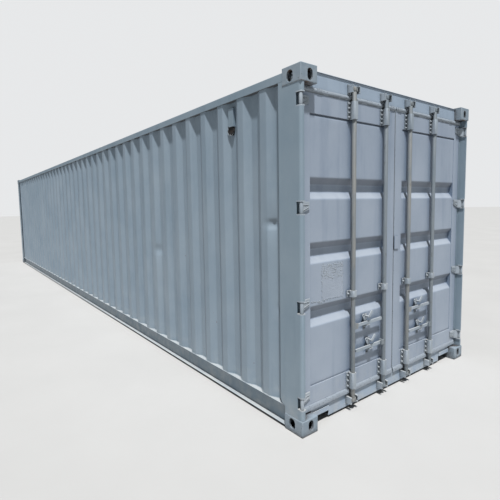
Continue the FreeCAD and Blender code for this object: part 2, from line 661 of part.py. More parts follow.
def leaves():
    for name, make in (("frame", leaf_frame), ("panel", leaf_panel), ("seal", leaf_seal)):
        shape = make()
        parts["door_%s_left" % name] = shape
        parts["door_%s_right" % name] = other_side(shape)
    y0, z0 = COVER_PLATE_Y, LEAF_Z0 + COVER_PLATE_UP
    parts["door_cover_plate"] = box(ex(LEAF_E - COVER_PLATE_T), ex(LEAF_E), y0, y0 + COVER_PLATE_W,
                                    z0, z0 + COVER_PLATE_H)


# ---- lock bars ------------------------------------------------------------------------
def bar_bracket(y, z0, z1):
    """Bolted hat bracket that the bar turns in."""
    flange = box(ex(LEAF_E - BRACKET_T), ex(LEAF_E), y - BRACKET_W / 2, y + BRACKET_W / 2, z0, z1)
    hat = box(ex(BRACKET_HAT_E), ex(LEAF_E), y - BRACKET_HAT_W / 2, y + BRACKET_HAT_W / 2, z0, z1)
    hat = fillet_edges(hat, BRACKET_HAT_W / 4,
                       lambda a, b: abs(a.x - ex(BRACKET_HAT_E)) < 1 and abs(b.x - a.x) < 1
                       and abs(a.z - b.z) > 1)
    bore = cyl(BAR_R + BAR_FIT, z1 - z0 + 2, (ex(BAR_E), y, z0 - 1))
    return fuse([flange, hat]).cut(bore)


def retainer(y_bar, z, way):
    """Ledge under the handle and the pivot boss of its catch."""
    y = y_bar + way * CATCH_Y
    w = RETAINER_W / 2
    ledge_z = z - HANDLE_H / 2 - RETAINER_LEDGE_GAP
    plate = box(ex(LEAF_E - RETAINER_T), ex(LEAF_E), y - w, y + w,
                ledge_z - RETAINER_T - RETAINER_BELOW, z + CATCH_PIVOT_UP + RETAINER_ABOVE)
    ledge = box(ex(RETAINER_LEDGE_E), ex(LEAF_E), y - w, y + w, ledge_z - RETAINER_T, ledge_z)
    boss_e = catch_back_e()
    boss = cyl(CATCH_BOSS_R, ex(boss_e) - ex(LEAF_E), (ex(LEAF_E), y, z + CATCH_PIVOT_UP), (1, 0, 0))
    pin_len = CATCH_T + CATCH_PIN_END
    pin = cyl(CATCH_BOSS_R / 2, pin_len, (ex(boss_e), y, z + CATCH_PIVOT_UP), (1, 0, 0))
    return fuse([plate, ledge, boss, pin])


def catch_back_e():
    """Inner face of the catch, clear of the handle."""
    return HANDLE_E - HANDLE_T / 2 - CATCH_GAP


def catch(y_bar, z, way):
    """Flat catch, raised off the handle at rest."""
    y = y_bar + way * CATCH_Y
    e1 = catch_back_e() - CATCH_FIT
    w = CATCH_W / 2
    bar = box(ex(e1), ex(e1 - CATCH_T), 0, CATCH_L - w, -w, w)
    ends = [cyl(w, CATCH_T, (ex(e1), yy, 0), (1, 0, 0)) for yy in (0, CATCH_L - w)]
    shape = fuse([bar] + ends)
    shape = shape.cut(cyl(CATCH_BOSS_R / 2 + CATCH_FIT, CATCH_T + 2, (ex(e1) - 1, 0, 0), (1, 0, 0)))
    shape.rotate(V(0, 0, 0), V(1, 0, 0), CATCH_REST_DEG)
    shape.translate(V(0, y, z + CATCH_PIVOT_UP))
    return shape


def bar_rod(y):
    """Plain rod of one locking bar, the full height."""
    z0 = CAM_LOW_Z - CAM_H / 2 - BAR_OVERRUN
    z1 = CAM_TOP_Z + CAM_H / 2 + BAR_OVERRUN
    return cyl(BAR_R, z1 - z0, (ex(BAR_E), y, z0))


def cam(y, z, way):
    """Cam head with a nose on the handle's side."""
    disc = cyl(CAM_R, CAM_H, (ex(BAR_E), y, z - CAM_H / 2))
    w = CAM_NOSE_W / 2
    nose = box(ex(BAR_E) - w, ex(BAR_E) + w, y, y + way * CAM_NOSE_R, z - CAM_H / 2, z + CAM_H / 2)
    reach = cyl(CAM_NOSE_R, CAM_H, (ex(BAR_E), y, z - CAM_H / 2))
    return fuse([disc, nose.common(reach)]).cut(bar_rod(y))


def lock_bar(y, z, way):
    """Rod with its welded cams and the forked hub of its handle."""
    inner = HANDLE_T / 2 + HUB_GAP
    outer = inner + HUB_CHEEK_T
    hub = [box(ex(HANDLE_E) + side * inner, ex(HANDLE_E) + side * outer, y, y + way * HUB_OUT,
               z - HUB_H / 2, z + HUB_H / 2) for side in (-1, 1)]
    pin = cyl(HANDLE_PIN_R, 2 * outer, (ex(HANDLE_E) - outer, y + way * HUB_PIN_Y, z), (1, 0, 0))
    hub = fuse(hub + [pin]).cut(bar_rod(y))
    return group([bar_rod(y), cam(y, CAM_TOP_Z, way), cam(y, CAM_LOW_Z, way), hub])


def handle(y, z, way):
    """Flat handle on the hub pin."""
    y0 = y + way * (BAR_R + HANDLE_END_GAP)
    y1 = y + way * HANDLE_L
    x = ex(HANDLE_E)
    blade = box(x - HANDLE_T / 2, x + HANDLE_T / 2, y0, y1, z - HANDLE_H / 2, z + HANDLE_H / 2)
    blade = fillet_edges(blade, HANDLE_H / 4, lambda a, b: abs(a.x - b.x) > 1)
    hole = cyl(HANDLE_PIN_R + PIN_FIT, HANDLE_T + 2, (x - HANDLE_T / 2 - 1, y + way * HUB_PIN_Y, z), (1, 0, 0))
    return blade.cut(hole)


def keeper(y, z, face_e):
    """Base and two cheeks, open towards the outside so that the cam leaves with the leaf."""
    gap = CAM_NOSE_R + KEEPER_CHEEK_GAP
    w = gap + KEEPER_T
    base_plate = box(ex(face_e - KEEPER_T), ex(face_e), y - w, y + w,
                     z - KEEPER_BASE_H / 2, z + KEEPER_BASE_H / 2)
    cheeks = [box(ex(KEEPER_TIP_E), ex(face_e), y + side * gap, y + side * w,
                  z - KEEPER_H / 2, z + KEEPER_H / 2) for side in (-1, 1)]
    lips = [box(ex(KEEPER_TIP_E), ex(face_e), y + side * w, y + side * (w - KEEPER_LIP_W),
                z + up * KEEPER_H / 2, z + up * (KEEPER_H / 2 - KEEPER_LIP_H))
            for side in (-1, 1) for up in (-1, 1)]
    return fuse([base_plate] + cheeks + lips)


def bars_and_handles():
    keepers = []
    for k, y in enumerate(BAR_Y):
        way = 1 if k % 2 == 0 else -1
        z = HANDLE_Z[k % 2]
        n = k + 1
        parts["lock_bar_%d" % n] = lock_bar(y, z, way)
        parts["handle_%d" % n] = handle(y, z, way)
        parts["catch_%d" % n] = catch(y, z, way)
        keepers.append(keeper(y, CAM_TOP_Z, HEADER_E))
        keepers.append(keeper(y, CAM_LOW_Z, SILL_E))
    parts["cam_keepers"] = group(keepers)
    for side, pair in (("left", (0, 1)), ("right", (2, 3))):
        fittings = []
        for k in pair:
            y = BAR_Y[k]
            way = 1 if k % 2 == 0 else -1
            top = LEAF_Z1 - SEAL_LIP_ON_LEAF - BRACKET_EDGE
            low = LEAF_Z0 + SEAL_LIP_ON_LEAF
            guide = LEAF_Z0 + GUIDE_UP
            fittings += [bar_bracket(y, top - BRACKET_H, top), bar_bracket(y, low, low + BRACKET_LOW_H),
                         bar_bracket(y, guide, guide + GUIDE_H), retainer(y, HANDLE_Z[k % 2], way)]
        parts["bar_brackets_%s" % side] = group(fittings)


# ---- ventilators ----------------------------------------------------------------------
def vents():
    """Small covered vent in a valley of each side wall, open underneath."""
    x1 = HX - POST_W
    pitch = CREST + VALLEY + 2 * SLOPE
    count = int((2 * x1 - VALLEY / 2) // pitch)
    edge = (2 * x1 - count * pitch + VALLEY) / 2
    mid = x1 - edge + VALLEY / 2 - VENT_VALLEY * pitch
    back = sy(WALL_INSET + WALL_DEPTH)
    w, t = VENT_W / 2, VENT_T
    z1 = TOP_Z0 - VENT_DROP
    z0 = z1 - VENT_H
    shell = box(mid - w, mid + w, back - VENT_D, back, z0, z1)
    shell = shell.cut(box(mid - w + t, mid + w - t, back - VENT_D + t, back + 1, z0 - 1, z1 - t))
    parts["side_vents"] = group([shell, other_side(shell)])


def build():
    castings()
    posts()
    side_rails()
    front_rails()
    header()
    sill()
    side_walls()
    front_wall()
    roof()
    base()
    floor()
    leaves()
    hinges()
    bars_and_handles()
    vents()


build()
os.makedirs("parts", exist_ok=True)
for name in sorted(parts):
    parts[name].exportStep("parts/%s.step" % name)
print("nodes", len(parts))
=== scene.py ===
"""Finish, detail and light one long corrugated freight container."""
from __future__ import annotations

import json
import logging
import math
from dataclasses import dataclass, field
from enum import Enum
from typing import Iterable, Sequence

import bmesh
import bpy
from mathutils import Matrix, Vector, noise


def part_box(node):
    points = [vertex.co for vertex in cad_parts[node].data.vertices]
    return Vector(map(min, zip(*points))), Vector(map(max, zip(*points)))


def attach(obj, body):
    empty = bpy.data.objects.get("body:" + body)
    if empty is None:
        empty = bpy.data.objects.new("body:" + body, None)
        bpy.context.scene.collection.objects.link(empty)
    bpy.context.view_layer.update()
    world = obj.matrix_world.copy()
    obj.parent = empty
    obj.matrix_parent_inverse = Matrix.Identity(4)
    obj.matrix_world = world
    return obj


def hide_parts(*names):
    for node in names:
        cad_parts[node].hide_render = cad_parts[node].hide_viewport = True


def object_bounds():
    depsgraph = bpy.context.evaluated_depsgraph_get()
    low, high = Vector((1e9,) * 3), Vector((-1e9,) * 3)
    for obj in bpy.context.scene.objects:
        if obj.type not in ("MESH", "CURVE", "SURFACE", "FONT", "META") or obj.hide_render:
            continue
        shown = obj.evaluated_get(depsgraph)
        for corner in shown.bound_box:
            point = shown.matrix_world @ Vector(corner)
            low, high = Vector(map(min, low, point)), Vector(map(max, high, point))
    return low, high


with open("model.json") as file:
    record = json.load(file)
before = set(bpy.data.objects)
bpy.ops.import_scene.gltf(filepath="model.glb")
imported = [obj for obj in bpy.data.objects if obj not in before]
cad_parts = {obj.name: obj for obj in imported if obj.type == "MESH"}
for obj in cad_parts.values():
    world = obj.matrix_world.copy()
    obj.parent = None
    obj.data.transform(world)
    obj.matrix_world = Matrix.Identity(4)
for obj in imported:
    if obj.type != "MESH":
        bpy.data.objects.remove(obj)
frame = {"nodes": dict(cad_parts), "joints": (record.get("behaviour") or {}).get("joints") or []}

log = logging.getLogger("container")

CAD_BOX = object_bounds()
Point = tuple[float, float, float]
Flat = tuple[float, float]
Colour = tuple[float, float, float]
Socket = bpy.types.NodeSocket


class Side(Enum):
    """Long side of the container, by the sign of its Y."""
    LEFT = -1
    RIGHT = 1

    @property
    def word(self) -> str:
        """Name of the side as the nodes spell it."""
        return self.name.lower()


class Coat(Enum):
    """Finishes of the container's pieces, each with its tint slot."""
    SHELL = ("frame paint", "paint")
    WALL = ("side wall paint", "paint")
    END = ("door end paint", "paint")
    CASTING = ("cast corner paint", "casting")
    LEAF = ("leaf paint", "door")
    PATCH = ("rough patch", "door")
    GEAR = ("gear paint", "hardware")
    WORN_BAR = ("worn zinc bar", "bar_tint")
    DARK_BAR = ("painted bar", "hardware")
    GASKET = ("painted rubber", "rubber")
    DECK = ("plywood", "wood")
    STRIP = ("bare steel", "steel")
    # Near-black painted shade in holes, gaps and the vent mouths.
    SOOT = ("dark inside", "rubber")

    @property
    def slot(self) -> str:
        """Tint slot of the coat."""
        return self.value[1]


# ---- finishes -------------------------------------------------------------------------
class NodeBench:
    """Short calls that wire up one material's nodes."""

    def __init__(self, name: str) -> None:
        """Start an empty node material.

        Args:
            name: Name of the material.
        """
        self.material = bpy.data.materials.new(name)
        self.material.use_nodes = True
        self.tree = self.material.node_tree
        self.tree.nodes.clear()
        self.shader = self.tree.nodes.new("ShaderNodeBsdfPrincipled")
        out = self.tree.nodes.new("ShaderNodeOutputMaterial")
        self.link(self.shader.outputs[0], out.inputs[0])
        self.coords = self.tree.nodes.new("ShaderNodeTexCoord").outputs["Object"]

    def link(self, source: Socket, target: Socket) -> None:
        """Join two sockets."""
        self.tree.links.new(source, target)

    def stretched(self, scale: Point) -> Socket:
        """Object coordinates scaled along each axis.

        Args:
            scale: Scale along X, Y and Z.

        Returns:
            The scaled vector's socket.
        """
        node = self.tree.nodes.new("ShaderNodeMapping")
        node.inputs["Scale"].default_value = scale
        self.link(self.coords, node.inputs["Vector"])
        return node.outputs[0]

    def cloud(self, scale: float, detail: float = 4.0, rough: float = 0.55,
              stretch: Point = (1.0, 1.0, 1.0)) -> Socket:
        """Noise over the piece.

        Args:
            scale: Scale of the noise in cells a metre.
            detail: Octaves.
            rough: Weight of the fine octaves.
            stretch: Stretch along X, Y and Z.

        Returns:
            The noise value's socket.
        """
        node = self.tree.nodes.new("ShaderNodeTexNoise")
        node.inputs["Scale"].default_value = scale
        node.inputs["Detail"].default_value = detail
        node.inputs["Roughness"].default_value = rough
        self.link(self.stretched(stretch), node.inputs["Vector"])
        return node.outputs["Fac"]

    def band(self, source: Socket, low: float, high: float, to_low: float = 0.0,
             to_high: float = 1.0) -> Socket:
        """Remap one range to another, clamped.

        Args:
            source: Value to remap.
            low: Value that becomes to_low.
            high: Value that becomes to_high.
            to_low: Result at low.
            to_high: Result at high.

        Returns:
            The remapped value's socket.
        """
        node = self.tree.nodes.new("ShaderNodeMapRange")
        ends = {"From Min": low, "From Max": high, "To Min": to_low, "To Max": to_high}
        for key, value in ends.items():
            node.inputs[key].default_value = value
        self.link(source, node.inputs["Value"])
        return node.outputs[0]

    def combine(self, kind: str, first: Socket, second: Socket | float) -> Socket:
        """One arithmetic step.

        Args:
            kind: Blender's name of the operation.
            first: First value.
            second: Second value, a socket or a number.

        Returns:
            The result's socket.
        """
        node = self.tree.nodes.new("ShaderNodeMath")
        node.operation = kind
        self.link(first, node.inputs[0])
        if isinstance(second, (int, float)):
            node.inputs[1].default_value = second
        else:
            self.link(second, node.inputs[1])
        return node.outputs[0]

    def blend(self, share: Socket, under: Socket | Colour,
              over: Socket | Colour) -> Socket:
        """Colour that goes from one to another.

        Args:
            share: How much of the second colour shows.
            under: First colour.
            over: Second colour.

        Returns:
            The colour's socket.
        """
        node = self.tree.nodes.new("ShaderNodeMix")
        node.data_type = "RGBA"
        self.link(share, node.inputs[0])
        for key, value in ((6, under), (7, over)):
            if isinstance(value, tuple):
                node.inputs[key].default_value = (*value, 1.0)
            else:
                self.link(value, node.inputs[key])
        return node.outputs[2]

    def facing(self, axis: int) -> Socket:
        """How far the surface faces along an object axis, from -1 to 1.

        Args:
            axis: 0, 1 or 2.

        Returns:
            The value's socket.
        """
        geometry = self.tree.nodes.new("ShaderNodeNewGeometry")
        split = self.tree.nodes.new("ShaderNodeSeparateXYZ")
        self.link(geometry.outputs["Normal"], split.inputs[0])
        return split.outputs[axis]

    def height(self) -> Socket:
        """Height above the ground on the resting object."""
        split = self.tree.nodes.new("ShaderNodeSeparateXYZ")
        self.link(self.coords, split.inputs[0])
        return split.outputs[2]

    def corners(self, reach: float) -> Socket:
        """Openness of the spot: 0 deep in a corner, 1 in the open.

        Args:
            reach: Distance searched, in metres.

        Returns:
            The value's socket.
        """
        node = self.tree.nodes.new("ShaderNodeAmbientOcclusion")
        node.samples = 4
        node.inputs["Distance"].default_value = reach
        return node.outputs["AO"]

    def paint(self, colour: Socket) -> None:
        """Give the shader its colour."""
        self.link(colour, self.shader.inputs["Base Color"])

    def rough(self, source: Socket, low: float, high: float) -> None:
        """Let the roughness follow a value.

        Args:
            source: Value to follow.
            low: Roughness where the value is low.
            high: Roughness where it is high.
        """
        self.link(self.band(source, 0.3, 0.7, low, high), self.shader.inputs["Roughness"])

    def relief(self, steps: Sequence[tuple[Socket, float]]) -> None:
        """Stack bumps on the shader's normal.

        Args:
            steps: Height source and its depth in metres, coarse first.
        """
        below = None
        for source, depth in steps:
            node = self.tree.nodes.new("ShaderNodeBump")
            node.inputs["Distance"].default_value = depth
            self.link(source, node.inputs["Height"])
            if below is not None:
                self.link(below, node.inputs["Normal"])
            below = node.outputs[0]
        self.link(below, self.shader.inputs["Normal"])


@dataclass(frozen=True)
class PaintFinish:
    """Field-rolled paint over steel, faded, with runs, dust and small rust spots; painted shade
    darkens its corners and downward faces, and painted light pales its upward faces.
    """
    name: str
    colour: Colour = (0.202, 0.270, 0.330)
    faded: Colour = (0.246, 0.312, 0.368)
    # Colour of the dark runs, and of the painted shade in corners, creases and recesses.
    shade: Colour = (0.140, 0.195, 0.245)
    # Pale dust colour near the ground, also painted light on upward faces.
    dust: Colour = (0.470, 0.480, 0.475)
    rust: Colour = (0.150, 0.062, 0.028)
    gloss_low: float = 0.40
    gloss_high: float = 0.60
    runs: float = 0.45
    spots: float = 0.735
    grain_depth: float = 0.00035
    sag_depth: float = 0.004
    # Reach and share of the painted shade in corners.
    corner_reach: float = 0.05
    corner_share: float = 0.45
    # Colour and share of the painted shade on downward faces.
    under: Colour = (0.060, 0.050, 0.045)
    under_share: float = 0.85

    def make(self) -> bpy.types.Material:
        """Build the paint.

        Returns:
            The finished material.
        """
        n = NodeBench(self.name)
        patch = n.band(n.cloud(1.7, 5.0), 0.36, 0.66)
        colour = n.blend(patch, self.colour, self.faded)
        runs = n.band(n.cloud(7.0, 6.0, 0.6, (1.0, 1.0, 0.10)), 0.52, 0.74, 0.0, self.runs)
        colour = n.blend(runs, colour, self.shade)
        roller = n.band(n.cloud(26.0, 5.0, 0.7, (1.0, 1.0, 0.35)), 0.35, 0.70, 0.0, 0.30)
        colour = n.blend(roller, colour, self.faded)
        # Painted shade: darker in corners, creases and recesses, found by ambient occlusion.
        painted_corner_shade = n.band(n.corners(self.corner_reach), 0.90, 0.45, 0.0, self.corner_share)
        colour = n.blend(painted_corner_shade, colour, self.shade)
        # Painted shade: downward faces turn to the dark underside colour.
        under = n.band(n.facing(2), -0.25, -0.85, 0.0, self.under_share)
        colour = n.blend(under, colour, self.under)
        # Upward faces turn pale: partly dust lying on them, partly painted light on the tops.
        top_dust_and_light = n.combine("MULTIPLY", n.band(n.facing(2), 0.35, 0.95),
                          n.band(n.cloud(4.0), 0.3, 0.7, 0.45, 0.70))
        colour = n.blend(top_dust_and_light, colour, self.dust)
        splash = n.combine("MULTIPLY", n.band(n.height(), 0.34, 0.02),
                           n.band(n.cloud(11.0, 6.0), 0.42, 0.68, 0.0, 0.5))
        colour = n.blend(splash, colour, self.dust)
        spots = n.band(n.cloud(38.0, 3.0, 0.6), self.spots, self.spots + 0.02)
        zone = n.band(n.cloud(3.1, 2.0), 0.52, 0.60)
        chips = n.combine("MULTIPLY", spots, zone)
        colour = n.blend(chips, colour, self.rust)
        n.paint(colour)
        rough = n.band(n.cloud(6.0, 5.0, 0.6), 0.3, 0.7, self.gloss_low, self.gloss_high)
        rough = n.combine("ADD", rough, n.combine("MULTIPLY", chips, 0.3))
        n.link(rough, n.shader.inputs["Roughness"])
        n.shader.inputs["Specular IOR Level"].default_value = 0.42
        n.relief(((n.cloud(1.3, 2.0, 0.4), self.sag_depth),
                  (n.cloud(95.0, 3.0, 0.6), self.grain_depth),
                  (n.cloud(520.0, 2.0), self.grain_depth * 0.35),
                  (n.combine("MULTIPLY", chips, -1.0), 0.0006)))
        return n.material


@dataclass(frozen=True)
class CastFinish:
    """Paint over rough sand-cast steel, with painted shade on its downward faces and in its
    corners.
    """
    name: str
    colour: Colour = (0.215, 0.275, 0.328)
    worn: Colour = (0.262, 0.312, 0.358)
    # Near-black colour of the rust chips, also the painted shade in corners.
    rust: Colour = (0.030, 0.018, 0.013)
    # Dull brown painted shade on downward faces.
    flash: Colour = (0.150, 0.100, 0.072)

    def make(self) -> bpy.types.Material:
        """Build the painted casting finish.

        Returns:
            The finished material.
        """
        n = NodeBench(self.name)
        colour = n.blend(n.band(n.cloud(14.0, 5.0), 0.35, 0.65), self.colour, self.worn)
        # Painted shade: downward faces turn dull brown, broken by noise.
        below = n.combine("MULTIPLY", n.band(n.facing(2), -0.4, -0.9),
                          n.band(n.cloud(26.0, 5.0), 0.35, 0.60))
        colour = n.blend(below, colour, self.flash)
        # Painted shade: near black in corners and hollows, found by ambient occlusion and broken
        # by noise.
        painted_corner_shade = n.band(n.corners(0.09), 0.78, 0.48)
        stained = n.combine("MULTIPLY", painted_corner_shade, n.band(n.cloud(30.0, 5.0), 0.30, 0.46, 0.55, 1.0))
        colour = n.blend(stained, colour, self.rust)
        chips = n.band(n.cloud(60.0, 3.0), 0.70, 0.73)
        colour = n.blend(chips, colour, self.rust)
        n.paint(colour)
        n.rough(n.cloud(25.0), 0.45, 0.72)
        n.relief(((n.cloud(24.0, 3.0), 0.0022), (n.cloud(210.0, 4.0, 0.7), 0.0009)))
        return n.material


@dataclass(frozen=True)
class BarFinish:
    """Galvanised tube with a thin, half-worn coat."""
    name: str
    zinc: Colour = (0.258, 0.266, 0.262)
    coat: Colour = (0.196, 0.226, 0.248)
    stain: Colour = (0.180, 0.155, 0.125)

    def make(self) -> bpy.types.Material:
        """Build the worn bar finish.

        Returns:
            The finished material.
        """
        n = NodeBench(self.name)
        coated = n.band(n.cloud(9.0, 6.0, 0.65, (1.0, 1.0, 0.22)), 0.44, 0.60)
        stained = n.band(n.cloud(48.0, 4.0, 0.6, (1.0, 1.0, 0.4)), 0.60, 0.72, 0.0, 0.7)
        colour = n.blend(stained, n.blend(coated, self.zinc, self.coat), self.stain)
        n.paint(colour)
        n.rough(n.cloud(16.0), 0.42, 0.62)
        n.shader.inputs["Metallic"].default_value = 0.15
        n.relief(((n.cloud(70.0, 3.0), 0.0005), (n.cloud(400.0, 3.0), 0.0002)))
        return n.material


@dataclass(frozen=True)
class GasketFinish:
    """Rubber door gasket under flexing, crazed paint, with painted shade in its creases and on its
    downward faces.
    """
    name: str
    colour: Colour = (0.285, 0.330, 0.380)
    # Black of bare rubber, also used as painted shade.
    rubber: Colour = (0.030, 0.032, 0.034)

    def make(self) -> bpy.types.Material:
        """Build the painted rubber.

        Returns:
            The finished material.
        """
        n = NodeBench(self.name)
        # Bare black rubber where the paint is crazed; the same black is painted shade in creases,
        # found by ambient occlusion, and on downward faces.
        deep = n.band(n.corners(0.035), 0.62, 0.20)
        crazed = n.band(n.cloud(85.0, 4.0, 0.7), 0.60, 0.66)
        under = n.band(n.facing(2), -0.30, -0.75, 0.0, 0.85)
        bare = n.combine("MAXIMUM", n.combine("MAXIMUM", deep, crazed), under)
        n.paint(n.blend(bare, self.colour, self.rubber))
        n.rough(n.cloud(30.0), 0.5, 0.75)
        n.relief(((n.cloud(18.0, 3.0), 0.0045), (n.cloud(62.0, 4.0, 0.7), 0.0030),
                  (n.cloud(160.0, 3.0), 0.0008)))
        return n.material


@dataclass(frozen=True)
class SootFinish:
    """Painted shade: near-black colour that stands for the unlit inside of holes, gaps and torn
    mouths, mottled with brown.
    """
    name: str
    colour: Colour = (0.012, 0.012, 0.013)
    # Brownish mottle in the painted shade.
    shade_mottle: Colour = (0.040, 0.026, 0.018)

    def make(self) -> bpy.types.Material:
        """Build the painted shade.

        Returns:
            The finished material.
        """
        n = NodeBench(self.name)
        n.paint(n.blend(n.band(n.cloud(70.0, 4.0), 0.5, 0.7), self.colour, self.shade_mottle))
        n.shader.inputs["Roughness"].default_value = 0.95
        n.relief(((n.cloud(120.0, 3.0), 0.002),))
        return n.material


@dataclass(frozen=True)
class DeckFinish:
    """Thick plywood deck with panel seams, scuffs and grain across the container."""
    name: str
    pale: Colour = (0.250, 0.140, 0.070)
    dark: Colour = (0.110, 0.055, 0.028)
    scuff: Colour = (0.230, 0.200, 0.170)

    def make(self) -> bpy.types.Material:
        """Build the plywood.

        Returns:
            The finished material.
        """
        n = NodeBench(self.name)
        grain = n.cloud(5.0, 8.0, 0.7, (9.0, 0.7, 9.0))
        colour = n.blend(n.band(grain, 0.35, 0.65), self.dark, self.pale)
        seams = n.tree.nodes.new("ShaderNodeTexBrick")
        seams.offset = 0.5
        for key, value in (("Scale", 1.0), ("Mortar Size", 0.0025), ("Brick Width", 2.4),
                           ("Row Height", 1.163), ("Mortar Smooth", 0.2)):
            seams.inputs[key].default_value = value
        n.link(n.coords, seams.inputs["Vector"])
        colour = n.blend(seams.outputs["Fac"], colour, (0.02, 0.014, 0.010))
        worn = n.band(n.cloud(3.0, 7.0, 0.7, (0.4, 1.0, 1.0)), 0.52, 0.72, 0.0, 0.7)
        colour = n.blend(worn, colour, self.scuff)
        n.paint(colour)
        n.rough(grain, 0.45, 0.75)
        n.relief(((grain, 0.0006), (n.combine("MULTIPLY", seams.outputs["Fac"], -1.0), 0.0015)))
        return n.material


@dataclass(frozen=True)
class StripFinish:
    """Bare steel strip, scratched along the container."""
    name: str
    bright: Colour = (0.360, 0.345, 0.320)
    dull: Colour = (0.180, 0.130, 0.095)

    def make(self) -> bpy.types.Material:
        """Build the bare steel.

        Returns:
            The finished material.
        """
        n = NodeBench(self.name)
        worn = n.band(n.cloud(20.0, 6.0, 0.6, (0.1, 2.0, 2.0)), 0.38, 0.62)
        n.paint(n.blend(worn, self.bright, self.dull))
        n.shader.inputs["Metallic"].default_value = 0.8
        n.rough(n.cloud(30.0), 0.35, 0.65)
        n.relief(((n.cloud(60.0, 4.0, 0.6, (0.1, 2.0, 2.0)), 0.0005),))
        return n.material


class PaintShop:
    """Keeps one made material for each coat."""

    def __init__(self) -> None:
        """Mix every coat once."""
        finishes = {
            Coat.SHELL: PaintFinish("shell_paint"),
            Coat.WALL: PaintFinish("wall_paint", (0.206, 0.270, 0.332), (0.252, 0.314, 0.372)),
            # Lighter copy of the wall paint: painted light where the door end faces the key light.
            Coat.END: PaintFinish("end_paint", (0.288, 0.366, 0.460), (0.336, 0.412, 0.505),
                                  (0.200, 0.262, 0.335)),
            # Lighter copy of the wall paint: painted light where the leaves face the key light;
            # its third colour is the painted shade in corners.
            Coat.LEAF: PaintFinish("leaf_paint", (0.281, 0.336, 0.416), (0.332, 0.386, 0.464),
                                   (0.112, 0.165, 0.250), sag_depth=0.003, runs=0.35,
                                   corner_reach=0.11, corner_share=0.9, under_share=0.75),
            Coat.PATCH: PaintFinish("patch_paint", (0.300, 0.352, 0.428), (0.372, 0.424, 0.500),
                                    (0.130, 0.165, 0.215), grain_depth=0.0035, sag_depth=0.0),
            Coat.GEAR: PaintFinish("gear_paint", (0.252, 0.304, 0.355), (0.380, 0.428, 0.475),
                                   (0.050, 0.062, 0.075), spots=0.70, sag_depth=0.0005,
                                   corner_reach=0.03, corner_share=1.0, under_share=0.6, runs=0.6),
            Coat.CASTING: CastFinish("casting_paint"),
            Coat.WORN_BAR: BarFinish("worn_bar"),
            Coat.DARK_BAR: BarFinish("painted_bar", (0.212, 0.244, 0.270), (0.178, 0.214, 0.246),
                                     (0.120, 0.122, 0.118)),
            Coat.GASKET: GasketFinish("gasket_paint"),
            Coat.DECK: DeckFinish("deck_plywood"),
            Coat.STRIP: StripFinish("strip_steel"),
            Coat.SOOT: SootFinish("mouth_grime"),
        }
        self.pots: dict[Coat, bpy.types.Material] = {
            coat: finish.make() for coat, finish in finishes.items()}

    def pot(self, coat: Coat) -> bpy.types.Material:
        """Material of a coat."""
        return self.pots[coat]


# ---- mesh drawing ---------------------------------------------------------------------
def lerp(a: float, b: float, t: float) -> float:
    """Value between two others."""
    return a + (b - a) * t


def sway(x: float, z: float, seed: float, size: float = 0.7) -> float:
    """Gentle random lean of a sheet, about -1 to 1.

    Args:
        x: First place on the sheet.
        z: Second place on the sheet.
        seed: Chooses another pattern.
        size: Width of one bulge in metres.

    Returns:
        The lean at that place.
    """
    return noise.noise(Vector((x / size, z / size, seed))) * 1.6


def soften(line: Sequence[Flat], radius: float, steps: int, hold: float = 0.0) -> list[Flat]:
    """Round the corners of an open line.

    Args:
        line: Corner points.
        radius: Length taken from each leg at a corner.
        steps: Points on each rounded corner.
        hold: Distance of one more point on each side, which keeps the flats flat.

    Returns:
        The rounded line.
    """
    out = [line[0]]
    for i in range(1, len(line) - 1):
        a, b, c = Vector(line[i - 1]), Vector(line[i]), Vector(line[i + 1])
        into, away = (a - b), (c - b)
        cut = min(radius, into.length * 0.48, away.length * 0.48)
        p, q = b + into.normalized() * cut, b + away.normalized() * cut
        if hold and min(into.length, away.length) * 0.48 > cut + hold:
            before, after = p + into.normalized() * hold, q + away.normalized() * hold
            out.append((before.x, before.y))
        for k in range(steps + 1):
            t = k / steps
            at = p * (1 - t) ** 2 + b * 2 * t * (1 - t) + q * t ** 2
            out.append((at.x, at.y))
        if hold and min(into.length, away.length) * 0.48 > cut + hold:
            out.append((after.x, after.y))
    out.append(line[-1])
    return out


def spaced(line: Sequence[Flat], most: float) -> list[Flat]:
    """Add points so that no step of a line is longer than a limit.

    Args:
        line: Points of an open line.
        most: Longest step in metres.

    Returns:
        The line with the added points.
    """
    out = [line[0]]
    for a, b in zip(line, line[1:]):
        count = max(1, math.ceil(math.dist(a, b) / most))
        out += [(lerp(a[0], b[0], k / count), lerp(a[1], b[1], k / count))
                for k in range(1, count + 1)]
    return out


def beside(line: Sequence[Flat], gap: float) -> list[Flat]:
    """Copy of an open line moved to its left.

    Args:
        line: Points of the line.
        gap: Distance moved.

    Returns:
        As many points, each moved along the line's normal there.
    """
    out = []
    for i, at in enumerate(line):
        before, after = Vector(line[max(i - 1, 0)]), Vector(line[min(i + 1, len(line) - 1)])
        run = (after - before).normalized()
        out.append((at[0] - run.y * gap, at[1] + run.x * gap))
    return out


def waves(start: float, end: float, low: float, high: float, flat_low: float, flat_high: float,
          slope: float) -> list[Flat]:
    """Corner points of a folded sheet with equal waves and a low flat at both ends.

    Args:
        start: Where the sheet starts.
        end: Where it ends.
        low: Level of the low flats.
        high: Level of the high flats.
        flat_low: Width of a low flat.
        flat_high: Width of a high flat.
        slope: Run of a slope.

    Returns:
        The corner points.
    """
    pitch = flat_low + flat_high + 2 * slope
    count = int((end - start - flat_low / 2) // pitch)
    at = start + (end - start - count * pitch + flat_low) / 2
    line = [(start, low)]
    for _ in range(count):
        line += [(at, low), (at + slope, high), (at + slope + flat_high, high),
                 (at + 2 * slope + flat_high, low)]
        at += pitch
    return line + [(end, low)]


